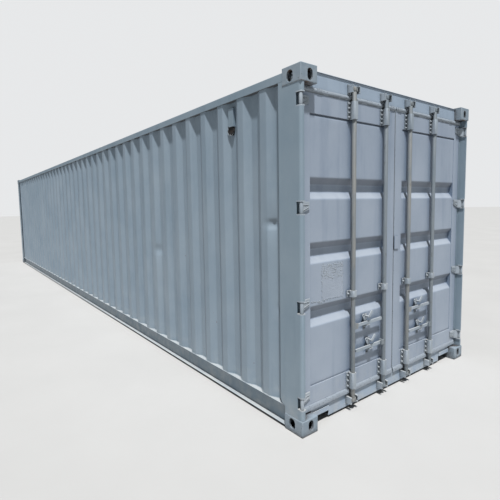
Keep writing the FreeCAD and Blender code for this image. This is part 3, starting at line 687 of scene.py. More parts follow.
class Draft:
    """One piece's mesh while it is drawn."""

    def __init__(self, name: str) -> None:
        """Start an empty drawing.

        Args:
            name: Name of the piece.
        """
        self.name = name
        self.points: list[Point] = []
        self.faces: list[tuple[int, ...]] = []

    def rings(self, rings: Sequence[Sequence[Point]]) -> None:
        """Skin a row of closed rings and cap both ends.

        Args:
            rings: Rings of as many points each.
        """
        base, n = len(self.points), len(rings[0])
        for ring in rings:
            self.points += [tuple(p) for p in ring]
        for r in range(len(rings) - 1):
            for k in range(n):
                a, b = base + r * n + k, base + r * n + (k + 1) % n
                self.faces.append((a, b, b + n, a + n))
        last = base + (len(rings) - 1) * n
        self.faces.append(tuple(range(base + n - 1, base - 1, -1)))
        self.faces.append(tuple(range(last, last + n)))

    def sheet(self, front: Sequence[Sequence[Point]], back: Sequence[Sequence[Point]]) -> None:
        """Closed sheet between two grids of equal size.

        Args:
            front: Rows of points on one face.
            back: The same rows on the other face.
        """
        rows, cols = len(front), len(front[0])
        base = len(self.points)
        for grid in (front, back):
            for row in grid:
                self.points += [tuple(p) for p in row]

        def at(side: int, r: int, c: int) -> int:
            """Number of a grid point."""
            return base + side * rows * cols + r * cols + c

        for r in range(rows - 1):
            for c in range(cols - 1):
                self.faces.append((at(0, r, c), at(0, r, c + 1),
                                   at(0, r + 1, c + 1), at(0, r + 1, c)))
                self.faces.append((at(1, r, c), at(1, r + 1, c),
                                   at(1, r + 1, c + 1), at(1, r, c + 1)))
        for c in range(cols - 1):
            self.faces.append((at(0, 0, c), at(1, 0, c), at(1, 0, c + 1), at(0, 0, c + 1)))
            self.faces.append((at(0, rows - 1, c), at(0, rows - 1, c + 1), at(1, rows - 1, c + 1),
                               at(1, rows - 1, c)))
        for r in range(rows - 1):
            self.faces.append((at(0, r, 0), at(0, r + 1, 0), at(1, r + 1, 0), at(1, r, 0)))
            self.faces.append((at(0, r, cols - 1), at(1, r, cols - 1), at(1, r + 1, cols - 1),
                               at(0, r + 1, cols - 1)))

    def plate(self, outline: Sequence[Flat], base: float, thick: float, ease: float) -> None:
        """Upright plate that faces along X, with its edges eased on both faces.

        Args:
            outline: Y and Z of the corners of a convex outline.
            base: X of the back face.
            thick: Thickness.
            ease: Width of the eased edge.
        """
        mid = Vector((sum(p[0] for p in outline), sum(p[1] for p in outline))) / len(outline)
        rings = []
        for along, pull in ((0.0, ease), (ease, 0.0), (thick - ease, 0.0), (thick, ease)):
            ring = []
            for p in outline:
                arm = Vector(p) - mid
                arm = arm * max(0.0, 1 - pull / max(arm.length, 1e-6) * 1.3)
                ring.append((base + along, mid.x + arm.x, mid.y + arm.y))
            rings.append(ring)
        self.rings(rings)

    def block(self, low: Point, high: Point, ease: float) -> None:
        """Box with eased edges.

        Args:
            low: Lowest corner.
            high: Highest corner.
            ease: Width of the eased edges.
        """
        x0, y0, x1, y1 = low[0], low[1], high[0], high[1]
        e = ease
        outline = [(x0 + e, y0), (x1 - e, y0), (x1, y0 + e), (x1, y1 - e),
                   (x1 - e, y1), (x0 + e, y1), (x0, y1 - e), (x0, y0 + e)]
        mx, my = (x0 + x1) / 2, (y0 + y1) / 2
        rings = []
        for z, pull in ((low[2], e), (low[2] + e, 0.0), (high[2] - e, 0.0), (high[2], e)):
            rings.append([(x - math.copysign(pull, x - mx), y - math.copysign(pull, y - my), z)
                          for x, y in outline])
        self.rings(rings)

    def lathe(self, base: Point, axis: int, profile: Sequence[Flat], sides: int,
              turn: float = 0.0) -> None:
        """Turned solid.

        Args:
            base: Where the profile starts.
            axis: Axis that it turns about.
            profile: Distance along the axis, with its sign, and radius.
            sides: Number of sides.
            turn: Turn of the first side in radians.
        """
        a, b = [(1, 2), (2, 0), (0, 1)][axis]
        rings = []
        for along, radius in profile:
            ring = []
            for k in range(sides):
                angle = turn + k * 2 * math.pi / sides
                at = list(base)
                at[axis] += along
                at[a] += radius * math.cos(angle)
                at[b] += radius * math.sin(angle)
                ring.append(tuple(at))
            rings.append(ring)
        self.rings(rings)

    def bolt(self, base: Point, across: float, turn: float) -> None:
        """Hexagon head on a washer, standing out along X.

        Args:
            base: Middle of the seat.
            across: Width of the head over its corners.
            turn: Turn of the head in radians.
        """
        r = across / 2
        self.lathe(base, 0, [(-0.0005, r * 1.35), (r * 0.18, r * 1.35), (r * 0.26, r * 1.22)], 16)
        self.lathe(base, 0, [(r * 0.2, r * 0.9), (r * 0.3, r), (r, r), (r * 1.2, r * 0.82)],
                   6, turn)
        self.lathe(base, 0, [(r * 1.1, r * 0.5), (r * 1.5, r * 0.5), (r * 1.62, r * 0.38)], 10)

    def bead(self, path: Sequence[Point], radius: float, seed: float, sides: int = 6,
             pitch: float = 0.007) -> None:
        """Rippled weld bead along a path.

        Args:
            path: Corner points of the path.
            radius: Half width of the bead.
            seed: Chooses the ripples.
            sides: Sides of the bead.
            pitch: Distance between rings.
        """
        line: list[Vector] = [Vector(path[0])]
        for a, b in zip(path, path[1:]):
            a, b = Vector(a), Vector(b)
            count = max(1, round((b - a).length / pitch))
            line += [a.lerp(b, k / count) for k in range(1, count + 1)]
        rings = []
        for i, at in enumerate(line):
            run = (line[min(i + 1, len(line) - 1)] - line[max(i - 1, 0)]).normalized()
            up = Vector((0, 0, 1)) if abs(run.z) < 0.9 else Vector((1, 0, 0))
            u = run.cross(up).normalized()
            v = run.cross(u).normalized()
            lump = noise.noise(Vector((i * 0.37, seed, 0.0)))
            swell = 0.82 + 0.18 * math.sin(i * 2.4) + 0.22 * lump
            if i in (0, len(line) - 1):
                swell *= 0.5
            rings.append([tuple(at + (u * math.cos(k * 2 * math.pi / sides)
                                      + v * math.sin(k * 2 * math.pi / sides)) * radius * swell)
                          for k in range(sides)])
        self.rings(rings)

    def object(self, coat: Coat, body: str, shop: PaintShop, sharp: float = 38.0,
               stands_for: Iterable[str] = ()) -> None:
        """Turn the drawing into a dressed piece that rides on a body.

        Args:
            coat: Its coat.
            body: Body that carries it.
            shop: Where the material comes from.
            sharp: Edges steeper than this many degrees stay crisp.
            stands_for: Nodes that it replaces.
        """
        mesh = bpy.data.meshes.new(self.name)
        mesh.from_pydata(self.points, [], self.faces)
        work = bmesh.new()
        work.from_mesh(mesh)
        bmesh.ops.recalc_face_normals(work, faces=work.faces)
        work.to_mesh(mesh)
        work.free()
        mesh.polygons.foreach_set("use_smooth", [True] * len(mesh.polygons))
        mesh.set_sharp_from_angle(angle=math.radians(sharp))
        mesh.materials.append(shop.pot(coat))
        piece = bpy.data.objects.new(self.name, mesh)
        bpy.context.scene.collection.objects.link(piece)
        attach(piece, body)
        for node in stands_for:
            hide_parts(node)
        log.info("%s: %d faces on %s", self.name, len(mesh.polygons), body)


# ---- what every sub-assembly shares -----------------------------------------------------
@dataclass
class Assembly:
    """Group of pieces that takes its materials from one paint shop."""
    shop: PaintShop


@dataclass
class LeafAssembly(Assembly):
    """Group of pieces that rides on one door leaf."""
    side: Side

    @property
    def body(self) -> str:
        """Body that carries the leaf."""
        return f"door_{self.side.word}"

    @property
    def numbers(self) -> tuple[int, int]:
        """Numbers of the leaf's lock bars, handles and catches."""
        return (1, 2) if self.side is Side.LEFT else (3, 4)

    def corners(self) -> tuple[Vector, Vector]:
        """Lowest and highest corner of the leaf's frame."""
        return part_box(f"door_frame_{self.side.word}")


# ---- walls and roof -------------------------------------------------------------------
@dataclass
class Dent:
    """Shallow knock in a sheet."""
    along: float
    up: float
    width: float
    height: float
    depth: float

    def push(self, along: float, up: float) -> float:
        """Depth of the knock at a place.

        Args:
            along: Place along the wall.
            up: Height.

        Returns:
            How far the sheet is pushed in.
        """
        a, b = (along - self.along) / self.width, (up - self.up) / self.height
        return self.depth * math.exp(-(a * a + b * b) * 2.2)


@dataclass
class SideWall(Assembly):
    """Corrugated side wall with soft folds, slack flats and a few knocks."""
    side: Side
    crest: float = 0.072
    valley: float = 0.070
    slope: float = 0.068
    depth: float = 0.036
    skin: float = 0.002
    fold: float = 0.006
    hold: float = 0.003
    step: float = 0.045
    rows: int = 12
    slack: float = 0.0016
    drift: float = 0.0025
    dents: list[Dent] = field(default_factory=list)

    def outline(self) -> list[Flat]:
        """Outer line of the wall, along X and then Y.

        Returns:
            Rounded and evenly spaced points.
        """
        low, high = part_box(f"side_wall_{self.side.word}")
        s = self.side.value
        out = max(abs(low.y), abs(high.y))
        line = waves(low.x, high.x, s * (out - self.depth), s * out,
                     self.valley, self.crest, self.slope)
        return spaced(soften(line, self.fold, 2, self.hold), self.step)

    def lean(self, x: float, z: float, share: float) -> float:
        """How far a point of the sheet leans inwards.

        Args:
            x: Place along the wall.
            z: Height.
            share: 0 at the wall's edges and 1 away from them.

        Returns:
            Distance inwards.
        """
        s = self.side.value
        broad = self.slack * (0.5 + 0.5 * sway(x, z * 0.4, 4.0 * s, 0.5))
        calm = broad + 0.0006 * sway(x, z, 9.0 * s, 0.13)
        return share * calm + sum(d.push(x, z) for d in self.dents)

    def build(self) -> None:
        """Draw the wall and the weld along its foot."""
        low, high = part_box(f"side_wall_{self.side.word}")
        s = self.side.value
        outer = self.outline()
        inner = beside(outer, -s * self.skin)
        levels = [lerp(low.z, high.z, r / self.rows) for r in range(self.rows + 1)]
        levels += [dent.up + dent.height * k / 4 for dent in self.dents for k in range(-4, 5)]
        front, back = [], []
        for z in sorted(levels):
            share = min(1.0, (z - low.z) / 0.5, (high.z - z) / 0.5)
            shift = self.drift * share
            row_out, row_in = [], []
            for (x, y), (xi, yi) in zip(outer, inner):
                edge = min(1.0, (x - low.x) / 0.05, (high.x - x) / 0.05)
                lean = -s * max(self.lean(x, z, share * edge), 0.0)
                drift = shift * edge * sway(x, z, 2.0 * s, 1.1)
                row_out.append((x + drift, y + lean, z))
                row_in.append((xi + drift, yi + lean, z))
            front.append(row_out)
            back.append(row_in)
        wall = Draft(f"wall_sheet_{self.side.word}")
        wall.sheet(front, back)
        wall.object(Coat.WALL, "container", self.shop, 50.0, [f"side_wall_{self.side.word}"])
        foot = Draft(f"wall_foot_weld_{self.side.word}")
        path = [(x, y + s * 0.001, low.z + 0.001) for x, y in outer]
        foot.bead(path, 0.0032, 3.0 * s, 5, 0.012)
        foot.object(Coat.SHELL, "container", self.shop, 60.0)


@dataclass
class FrontWall(Assembly):
    """Deeply corrugated wall of the closed end."""
    flat_out: float = 0.110
    flat_in: float = 0.104
    slope: float = 0.018
    skin: float = 0.002
    fold: float = 0.008
    step: float = 0.035
    rows: int = 22
    slack: float = 0.0018

    def build(self) -> None:
        """Draw the end wall."""
        low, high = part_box("front_wall")
        line = waves(low.y, high.y, low.x, high.x - self.skin,
                     self.flat_out, self.flat_in, self.slope)
        outer = spaced(soften(line, self.fold, 3), self.step)
        inner = beside(outer, self.skin)
        front, back = [], []
        for r in range(self.rows + 1):
            z = lerp(low.z, high.z, r / self.rows)
            share = min(1.0, 4 * r / self.rows, 4 * (self.rows - r) / self.rows)
            rows = []
            for source in (outer, inner):
                row = []
                for y, x in source:
                    edge = min(1.0, (y - low.y) / 0.05, (high.y - y) / 0.05)
                    lean = self.slack * share * edge * (0.5 + 0.5 * sway(y, z, 6.0, 0.45))
                    row.append((x + max(lean, 0.0), y, z))
                rows.append(row)
            front.append(rows[0])
            back.append(rows[1])
        wall = Draft("front_sheet")
        wall.sheet(front, back)
        wall.object(Coat.SHELL, "container", self.shop, 50.0, ["front_wall"])


@dataclass
class RoofSheet(Assembly):
    """Roof with pressed ribs that run out before the side rails."""
    rib: float = 0.091
    flat: float = 0.091
    slope: float = 0.0135
    rise: float = 0.018
    skin: float = 0.002
    border: float = 0.075
    runout: float = 0.055
    fold: float = 0.006
    step: float = 0.05
    end_flat: float = 0.11
    slack: float = 0.0012

    def build(self) -> None:
        """Draw the roof."""
        low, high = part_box("roof")
        base = high.z - self.rise
        line = waves(low.x, high.x, 0.0, 1.0, self.flat, self.rib, self.slope)
        line = [(x, h * self.rise) for x, h in line]
        line = spaced(soften(line, self.fold, 3), self.step)
        edge = high.y
        steps = [edge, edge - 0.03, edge - self.border]
        steps += [edge - self.border - self.runout * k / 4 for k in range(1, 5)]
        inner = steps[-1]
        steps += [inner * (1 - k / 9) for k in range(1, 9)]
        ys = sorted([-y for y in steps] + [0.0] + steps)
        front, back = [], []
        for y in ys:
            reach = max(0.0, min(1.0, (edge - self.border - abs(y)) / self.runout))
            reach = reach * reach * (3 - 2 * reach)
            row = []
            for x, h in line:
                corner = min(abs(x - low.x), abs(high.x - x)) < self.end_flat
                lift = 0.0 if corner else h * reach
                sag = self.slack * (0.5 + 0.5 * sway(x, y, 12.0, 0.9)) * reach
                row.append((x, y, base + lift - sag))
            front.append(row)
            back.append([(x, y, z - self.skin) for x, y, z in row])
        roof = Draft("roof_sheet")
        roof.sheet(front, back)
        roof.object(Coat.SHELL, "container", self.shop, 50.0, ["roof"])


# ---- doors ----------------------------------------------------------------------------
@dataclass
class DoorLeaf(LeafAssembly):
    """Panel, panel weld, gasket and gasket sleeves of one door leaf."""
    stile: float = 0.100
    rail: float = 0.147
    step: float = 0.004
    band_pitch: float = 0.468
    band_flat: float = 0.054
    band_slope: float = 0.050
    band_depth: float = 0.036
    skin: float = 0.002
    slack: float = 0.0024
    groove: float = 0.010
    foot_groove: float = 0.004
    groove_run: float = 0.017
    fold: float = 0.007
    hold: float = 0.003
    columns: int = 26

    def lean(self, y: float, z: float) -> float:
        """How far the panel leans inwards.

        Args:
            y: Place across the container.
            z: Height.

        Returns:
            Distance inwards.
        """
        low, high = self.corners()
        room = min(y - low.y - self.stile, high.y - self.stile - y) / 0.17
        end = min(z - low.z - self.rail, high.z - self.rail - z) / 0.06
        share = max(0.0, min(1.0, room, end))
        seed = 21.0 if self.side is Side.LEFT else 33.0
        return max(0.0, self.slack * share * (0.5 + 0.5 * sway(y, z, seed, 0.33)))

    def panel(self) -> None:
        """Draw the pressed panel with its three bands."""
        low, high = self.corners()
        face = high.x - self.step
        z0, z1 = low.z + self.rail, high.z - self.rail
        mid = (low.z + high.z) / 2
        line = [(z0, face - self.foot_groove), (z0 + self.groove_run, face)]
        half = self.band_flat / 2
        for k in (-1, 0, 1):
            at = mid + k * self.band_pitch
            line += [(at - half - self.band_slope, face), (at - half, face - self.band_depth),
                     (at + half, face - self.band_depth), (at + half + self.band_slope, face)]
        line += [(z1 - self.groove_run, face), (z1, face - self.groove)]
        outer = spaced(soften(line, self.fold, 3, self.hold), 0.035)
        inner = beside(outer, -self.skin)
        y0, y1 = low.y + self.stile, high.y - self.stile
        front, back = [], []
        for c in range(self.columns + 1):
            y = lerp(y0, y1, c / self.columns)
            row_out, row_in = [], []
            for (z, x), (zi, xi) in zip(outer, inner):
                lean = self.lean(y, z)
                row_out.append((x - lean, y, z))
                row_in.append((xi - lean, y, zi))
            front.append(row_out)
            back.append(row_in)
        panel = Draft(f"leaf_panel_{self.side.word}")
        panel.sheet(front, back)
        panel.object(Coat.LEAF, self.body, self.shop, 50.0, [f"door_panel_{self.side.word}"])

    def seams(self) -> None:
        """Draw the weld bead round the panel."""
        low, high = self.corners()
        face = high.x - self.step
        y0, y1 = low.y + self.stile, high.y - self.stile
        z0, z1 = low.z + self.rail, high.z - self.rail
        weld = Draft(f"panel_weld_{self.side.word}")
        for k, y in enumerate((y0, y1)):
            weld.bead([(face + 0.001, y, z0), (face + 0.001, y, z1)], 0.0028, 40.0 + k, 5, 0.012)
        for k, z in enumerate((z0, z1)):
            weld.bead([(face + 0.001, y0, z), (face + 0.001, y1, z)], 0.0030, 50.0 + k, 5, 0.012)
        weld.object(Coat.LEAF, self.body, self.shop, 60.0)

    def gasket(self) -> None:
        """Draw the rubber gasket round the leaf, with its lips."""
        low, high = self.corners()
        seal_low, seal_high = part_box(f"door_seal_{self.side.word}")
        draft = Draft(f"leaf_gasket_{self.side.word}")
        lip_out = seal_high.x
        back_lip = lip_out - 0.006
        stand = low.y - seal_low.y
        count = 70
        face = high.x + 0.0004
        top, foot = high.z, low.z
        crown = seal_high.z - 0.001
        bulb = [(face, top - 0.010), (face + 0.002, top - 0.009), (lip_out - 0.003, top + 0.001),
                (lip_out - 0.0005, top + 0.005), (lip_out, top + 0.011),
                (lip_out - 0.001, top + 0.017), (lip_out - 0.004, crown - 0.004),
                (back_lip, crown), (back_lip - 0.002, crown - 0.006),
                (back_lip + 0.001, top + 0.008), (face, top + 0.001)]
        hem = seal_low.z + 0.001
        flap = [(face, foot + 0.010), (face, foot - 0.001), (back_lip - 0.001, foot - 0.006),
                (back_lip, hem + 0.003), (back_lip + 0.002, hem), (lip_out - 0.001, hem + 0.002),
                (lip_out, hem + 0.006), (lip_out - 0.002, foot - 0.012),
                (face + 0.003, foot + 0.007)]
        for outline, edge in ((bulb, top), (flap, foot)):
            rings = []
            for k in range(count + 1):
                y = lerp(low.y, high.y, k / count)
                wave = noise.noise(Vector((y * 6.0, edge, 5.0)))
                wave = wave + 0.6 * noise.noise(Vector((y * 23.0, edge, 9.0)))
                ring = []
                for x, z in outline:
                    loose = x > face + 0.003 and abs(z - edge) < 0.02
                    ring.append((x - 0.0016 * abs(wave) if x > lip_out - 0.004 else x, y,
                                 z + (0.0034 * wave if loose else 0.0)))
                rings.append(ring)
            draft.rings(rings)
        x0, x1 = low.x + 0.006, high.x - 0.0015
        reach = 2.0 * stand
        left = self.side is Side.LEFT
        hinge_side, free_side = (low.y - stand, high.y + reach), (low.y - reach, high.y + stand)
        for y, out in zip((low.y, high.y), hinge_side if left else free_side):
            fins = []
            for k in range(41):
                z = lerp(low.z, high.z, k / 40)
                waist = lerp(y, out, 0.45)
                fins.append([(x0, y, z), (x1, y, z), (x1 - 0.002, out, z),
                             (x1 - 0.012, waist, z), (x0 + 0.012, waist, z), (x0 + 0.002, out, z)])
            draft.rings(fins)
        draft.object(Coat.GASKET, self.body, self.shop, 45.0, [f"door_seal_{self.side.word}"])

    def splices(self) -> None:
        """Draw the joining sleeves on the upper gasket lip."""
        low, high = self.corners()
        _, seal_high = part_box(f"door_seal_{self.side.word}")
        draft = Draft(f"gasket_splices_{self.side.word}")
        first, last = (0.195, 0.045) if self.side is Side.LEFT else (0.045, 0.195)
        x = seal_high.x
        for y in (low.y + first, high.y - last):
            outline = [(x - 0.005, high.z + 0.003), (x - 0.0002, high.z + 0.001),
                       (x + 0.0018, high.z + 0.006), (x + 0.0018, seal_high.z - 0.009),
                       (x - 0.0002, seal_high.z - 0.001), (x - 0.005, seal_high.z - 0.002)]
            rings = []
            for off, pull in ((-0.026, 0.6), (-0.022, 1.0), (0.022, 1.0), (0.026, 0.6)):
                rings.append([(x + (px - x) * pull, y + off, pz) for px, pz in outline])
            draft.rings(rings)
        draft.object(Coat.GASKET, self.body, self.shop, 40.0)

    def build(self) -> None:
        """Draw the whole leaf."""
        self.panel()
        self.seams()
        self.gasket()
        self.splices()


@dataclass
class GearBolts(LeafAssembly):
    """Bolts that hold the bar brackets and guides to the leaves."""
    bracket_top: float = 0.134
    bracket_low: float = 0.130
    guide_up: float = 0.759
    guide: float = 0.050
    flange: float = 0.0365
    plate: float = 0.006
    head: float = 0.017

    def build(self) -> None:
        """Draw the bolts on one leaf."""
        low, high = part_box(f"bar_brackets_{self.side.word}")
        frame_low, frame_high = self.corners()
        seat = frame_high.x + self.plate
        guide = frame_low.z + self.guide_up
        draft = Draft(f"bracket_bolts_{self.side.word}")
        for bar in self.numbers:
            y = self.bar_middle(bar)
            upper = (high.z - self.bracket_top, self.bracket_top, 4, (0.3, 0.5))
            lower = (low.z, self.bracket_low, 3, (0.4, 0.2))
            for foot, run, count, turns in (upper, lower):
                for k in range(count):
                    z = foot + (k + 0.5) * run / count
                    for sign, turn in zip((-1, 1), turns):
                        draft.bolt((seat, y + sign * self.flange, z), self.head, turn * k)
            for sign in (-1, 1):
                draft.bolt((seat, y + sign * self.flange, guide + self.guide / 2), self.head, 0.7)
        draft.object(Coat.GEAR, self.body, self.shop)

    @staticmethod
    def bar_middle(bar: int) -> float:
        """Y of a bar's axis.

        Args:
            bar: Number of the bar.

        Returns:
            Its Y, read from the joint that turns it.
        """
        for joint in frame["joints"]:
            if joint["name"] == f"lock_bar_{bar}_turn":
                return joint["pos_m"][1]
        raise ValueError(f"no joint turns bar {bar}")


@dataclass
class HingeTrim(LeafAssembly):
    """Welds round each hinge blade and the two raised folds across it."""
    up: Sequence[float] = (0.074, 0.772)
    down: Sequence[float] = (0.806, 0.078)
    half: float = 0.040
    tip: float = 0.050
    pad: float = 0.084
    plate: float = 0.008
    folds: Sequence[tuple[Flat, Flat]] = (((0.15, 0.018), (0.92, 0.022)),
                                          ((0.12, -0.022), (0.88, 0.004)))

    def build(self) -> None:
        """Draw the welds and folds of one leaf."""
        low, high = self.corners()
        blade_low, blade_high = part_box(f"hinge_blades_{self.side.word}")
        sign = -self.side.value
        end = blade_high.y if self.side is Side.LEFT else blade_low.y
        root = end - sign * self.pad
        draft = Draft(f"hinge_welds_{self.side.word}")
        middles = [low.z + up for up in self.up] + [high.z - down for down in self.down]
        for k, z in enumerate(middles):
            top, foot, tip = z + self.half, z - self.half, z + self.half - self.tip
            path = [(root, top), (end, top), (end, tip), (root, foot)]
            draft.bead([(high.x, py, pz) for py, pz in path], 0.0042, 200.0 + k, 6, 0.006)
            x = high.x + self.plate
            for fold, (start, stop) in enumerate(self.folds):
                draft.bead([(x, lerp(root, end, along), z + up) for along, up in (start, stop)],
                           0.0046, 210.0 + 10 * fold + k, 6, 0.008)
        draft.object(Coat.GEAR, self.body, self.shop, 50.0)


@dataclass
class CoverPlateGap(Assembly):
    """Painted shade: near-black strips behind the left and lower edges of the small cover plate,
    standing for the shadow in the gap.
    """
    gap: float = 0.0028
    lift: float = 0.0012

    def build(self) -> None:
        """Draw the painted shade strips."""
        low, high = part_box("door_cover_plate")
        draft = Draft("cover_plate_gap")
        x0, x1 = low.x - 0.001, low.x + self.lift
        draft.block((x0, low.y - self.gap, low.z), (x1, low.y, high.z), 0.0004)
        draft.block((x0, low.y - self.gap, low.z - self.gap), (x1, high.y, low.z), 0.0004)
        draft.object(Coat.SOOT, "door_right", self.shop)


@dataclass
class GhostPatch(Assembly):
    """Rough-edged film of a removed plate, painted over, with crumbs of old glue."""
    y: Flat = (-0.932, -0.690)
    z: Flat = (0.940, 1.203)
    film: float = 0.0012
    edge_points: int = 26
    spread: int = 170
    row: int = 25

    def build(self) -> None:
        """Draw the film and the crumbs."""
        _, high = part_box("door_frame_left")
        leaf = DoorLeaf(self.shop, Side.LEFT)
        face = high.x - leaf.step
        edge: list[Flat] = []
        (y0, y1), (z0, z1) = self.y, self.z
        corners = [(y0, z0), (y1, z0), (y1, z1), (y0, z1)]
        for i in range(4):
            a, b = corners[i], corners[(i + 1) % 4]
            for k in range(self.edge_points):
                share = k / self.edge_points
                y, z = lerp(a[0], b[0], share), lerp(a[1], b[1], share)
                rag = 0.010 * noise.noise(Vector((y * 30, z * 30, 3.0)))
                rag = rag + 0.004 * noise.noise(Vector((y * 110, z * 110, 8.0)))
                edge.append((y + rag, z + rag))
        draft = Draft("painted_over_patch")
        my, mz = sum(self.y) / 2, sum(self.z) / 2
        rings = []
        steps = [(1.0, -0.001), (1.0, self.film * 0.4), (0.985, self.film * 1.4)]
        steps += [(share, self.film) for share in (0.95, 0.8, 0.6, 0.4, 0.2)]
        for share, lift in steps:
            ring = []
            for y, z in edge:
                py, pz = my + (y - my) * share, mz + (z - mz) * share
                ring.append((face - leaf.lean(py, pz) + lift, py, pz))
            rings.append(ring)
        draft.rings(rings)
        draft.object(Coat.PATCH, "door_left", self.shop, 30.0)
        self.crumbs(leaf, face, edge)

    def crumbs(self, leaf: DoorLeaf, face: float, edge: Sequence[Flat]) -> None:
        """Draw the lumps of old glue round the film, on its upper third and in a row beside it.

        Args:
            leaf: Leaf that carries the patch.
            face: X of the flat panel.
            edge: Outline of the film.
        """
        draft = Draft("glue_crumbs")
        spots = [edge[k] for k in range(0, len(edge), 2)]
        for k in range(self.spread):
            along, up = (k * 0.618) % 1.0, (k * 0.7549) % 1.0
            spots.append((lerp(self.y[0], self.y[1], along),
                          lerp(self.z[1] - 0.105, self.z[1], up)))
        for k in range(self.row):
            share = k / (self.row - 1)
            spots.append((lerp(-1.045, -0.905, share),
                          lerp(0.945, 0.925, share) + 0.008 * math.sin(k * 1.9)))
        for k, (y, z) in enumerate(spots):
            jog_y = 0.020 * noise.noise(Vector((k * 0.83, 1.0, 0.0)))
            jog_z = 0.020 * noise.noise(Vector((k * 0.91, 0.0, 3.0)))
            size = 0.0040 + 0.0040 * noise.noise(Vector((k * 1.37, 9.0, 9.0)))
            at = (face - leaf.lean(y, z) - 0.0002, y + jog_y, z + jog_z)
            profile = [(0.0, size), (size * 0.45, size * 0.85), (size * 0.8, size * 0.35)]
            draft.lathe(at, 0, profile, 6, k * 0.7)
        draft.object(Coat.GEAR, "door_left", self.shop, 25.0)


# ---- frame details --------------------------------------------------------------------
@dataclass
class FrameWelds(Assembly):
    """Weld beads where the posts meet their castings."""
    radius: float = 0.0042
    inset: float = 0.007

    def build(self) -> None:
        """Draw one bead at each casting."""
        draft = Draft("frame_welds")
        seed = 100.0
        for end in ("door", "front"):
            for side in Side:
                for level in ("lower", "upper"):
                    low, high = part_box(f"casting_{end}_{level}_{side.word}")
                    z = high.z if level == "lower" else low.z
                    y_out = low.y if side is Side.LEFT else high.y
                    x_out = high.x if end == "door" else low.x
                    x_in = low.x if end == "door" else high.x
                    inset_x = self.inset if end == "door" else -self.inset
                    y = y_out - side.value * self.inset
                    seed += 1
                    draft.bead([(x_in, y, z), (x_out - inset_x * 2, y, z)], self.radius, seed)
        draft.object(Coat.SHELL, "container", self.shop, 60.0)


@dataclass
class DeckScrews(Assembly):
    """Rows of countersunk screws across the deck, at one even pitch."""
    pitch: float = 0.30
    across: int = 10
    head: Sequence[Flat] = ((-0.001, 0.0072), (0.0004, 0.0072), (0.0007, 0.0060))

    def build(self) -> None:
        """Draw the screw heads."""
        low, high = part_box("floor_boards")
        draft = Draft("deck_screws")
        rows = int((high.x - low.x) / self.pitch)
        for r in range(rows):
            x = high.x - 0.12 - r * self.pitch
            for k in range(self.across):
                y = lerp(low.y + 0.06, high.y - 0.06, k / (self.across - 1))
                if abs(y) < 0.03:
                    continue
                y += 0.004 * noise.noise(Vector((x * 9, y * 9, 1.0)))
                draft.lathe((x, y, high.z), 2, self.head, 8)
        draft.object(Coat.STRIP, "container", self.shop)


@dataclass
class VentMouths(Assembly):
    """Torn lower mouth of each side vent cover: a ragged near-black solid as painted shade in the
    opening, with a bead for its torn lip.
    """
    half_width: float = 0.040
    half_height: float = 0.044
    drop: float = 0.024
    stand: float = 0.008
    points: int = 36
    lip_from: int = 14
    lip_to: int = 34
    steps: Sequence[Flat] = ((1.0, -0.012), (1.0, 0.0), (0.93, 0.0015), (0.5, 0.0010),
                             (0.15, 0.0010))

    def build(self) -> None:
        """Draw a ragged near-black solid under each cover, painted shade for the opening, and its
        lip.
        """
        low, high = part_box("side_vents")
        middle = (low.x + high.x) / 2
        for side in Side:
            seat = side.value * (max(abs(low.y), abs(high.y)) - self.stand)
            draft = Draft(f"vent_mouth_{side.word}")
            edge: list[Flat] = []
            for k in range(self.points):
                angle = 2 * math.pi * k / self.points
                c, s = math.cos(angle), math.sin(angle)
                rag = 1 + 0.40 * noise.noise(Vector((c * 2, s * 2, side.value * 3.0)))
                edge.append((middle - 0.010 + self.half_width * rag * c,
                             low.z - self.drop + self.half_height * rag * s))
            rings = []
            for share, out in self.steps:
                rings.append([(middle + (x - middle) * share, seat + side.value * out,
                               low.z - self.drop + (z - low.z + self.drop) * share)
                              for x, z in edge])
            draft.rings(rings)
            draft.object(Coat.SOOT, "container", self.shop, 30.0)
            lips = Draft(f"vent_lips_{side.word}")
            path = [(x, seat + side.value * 0.0015, z) for x, z in edge[self.lip_from:self.lip_to]]
            lips.bead(path, 0.0032, side.value * 5.0)
            lips.object(Coat.GEAR, "container", self.shop, 40.0)


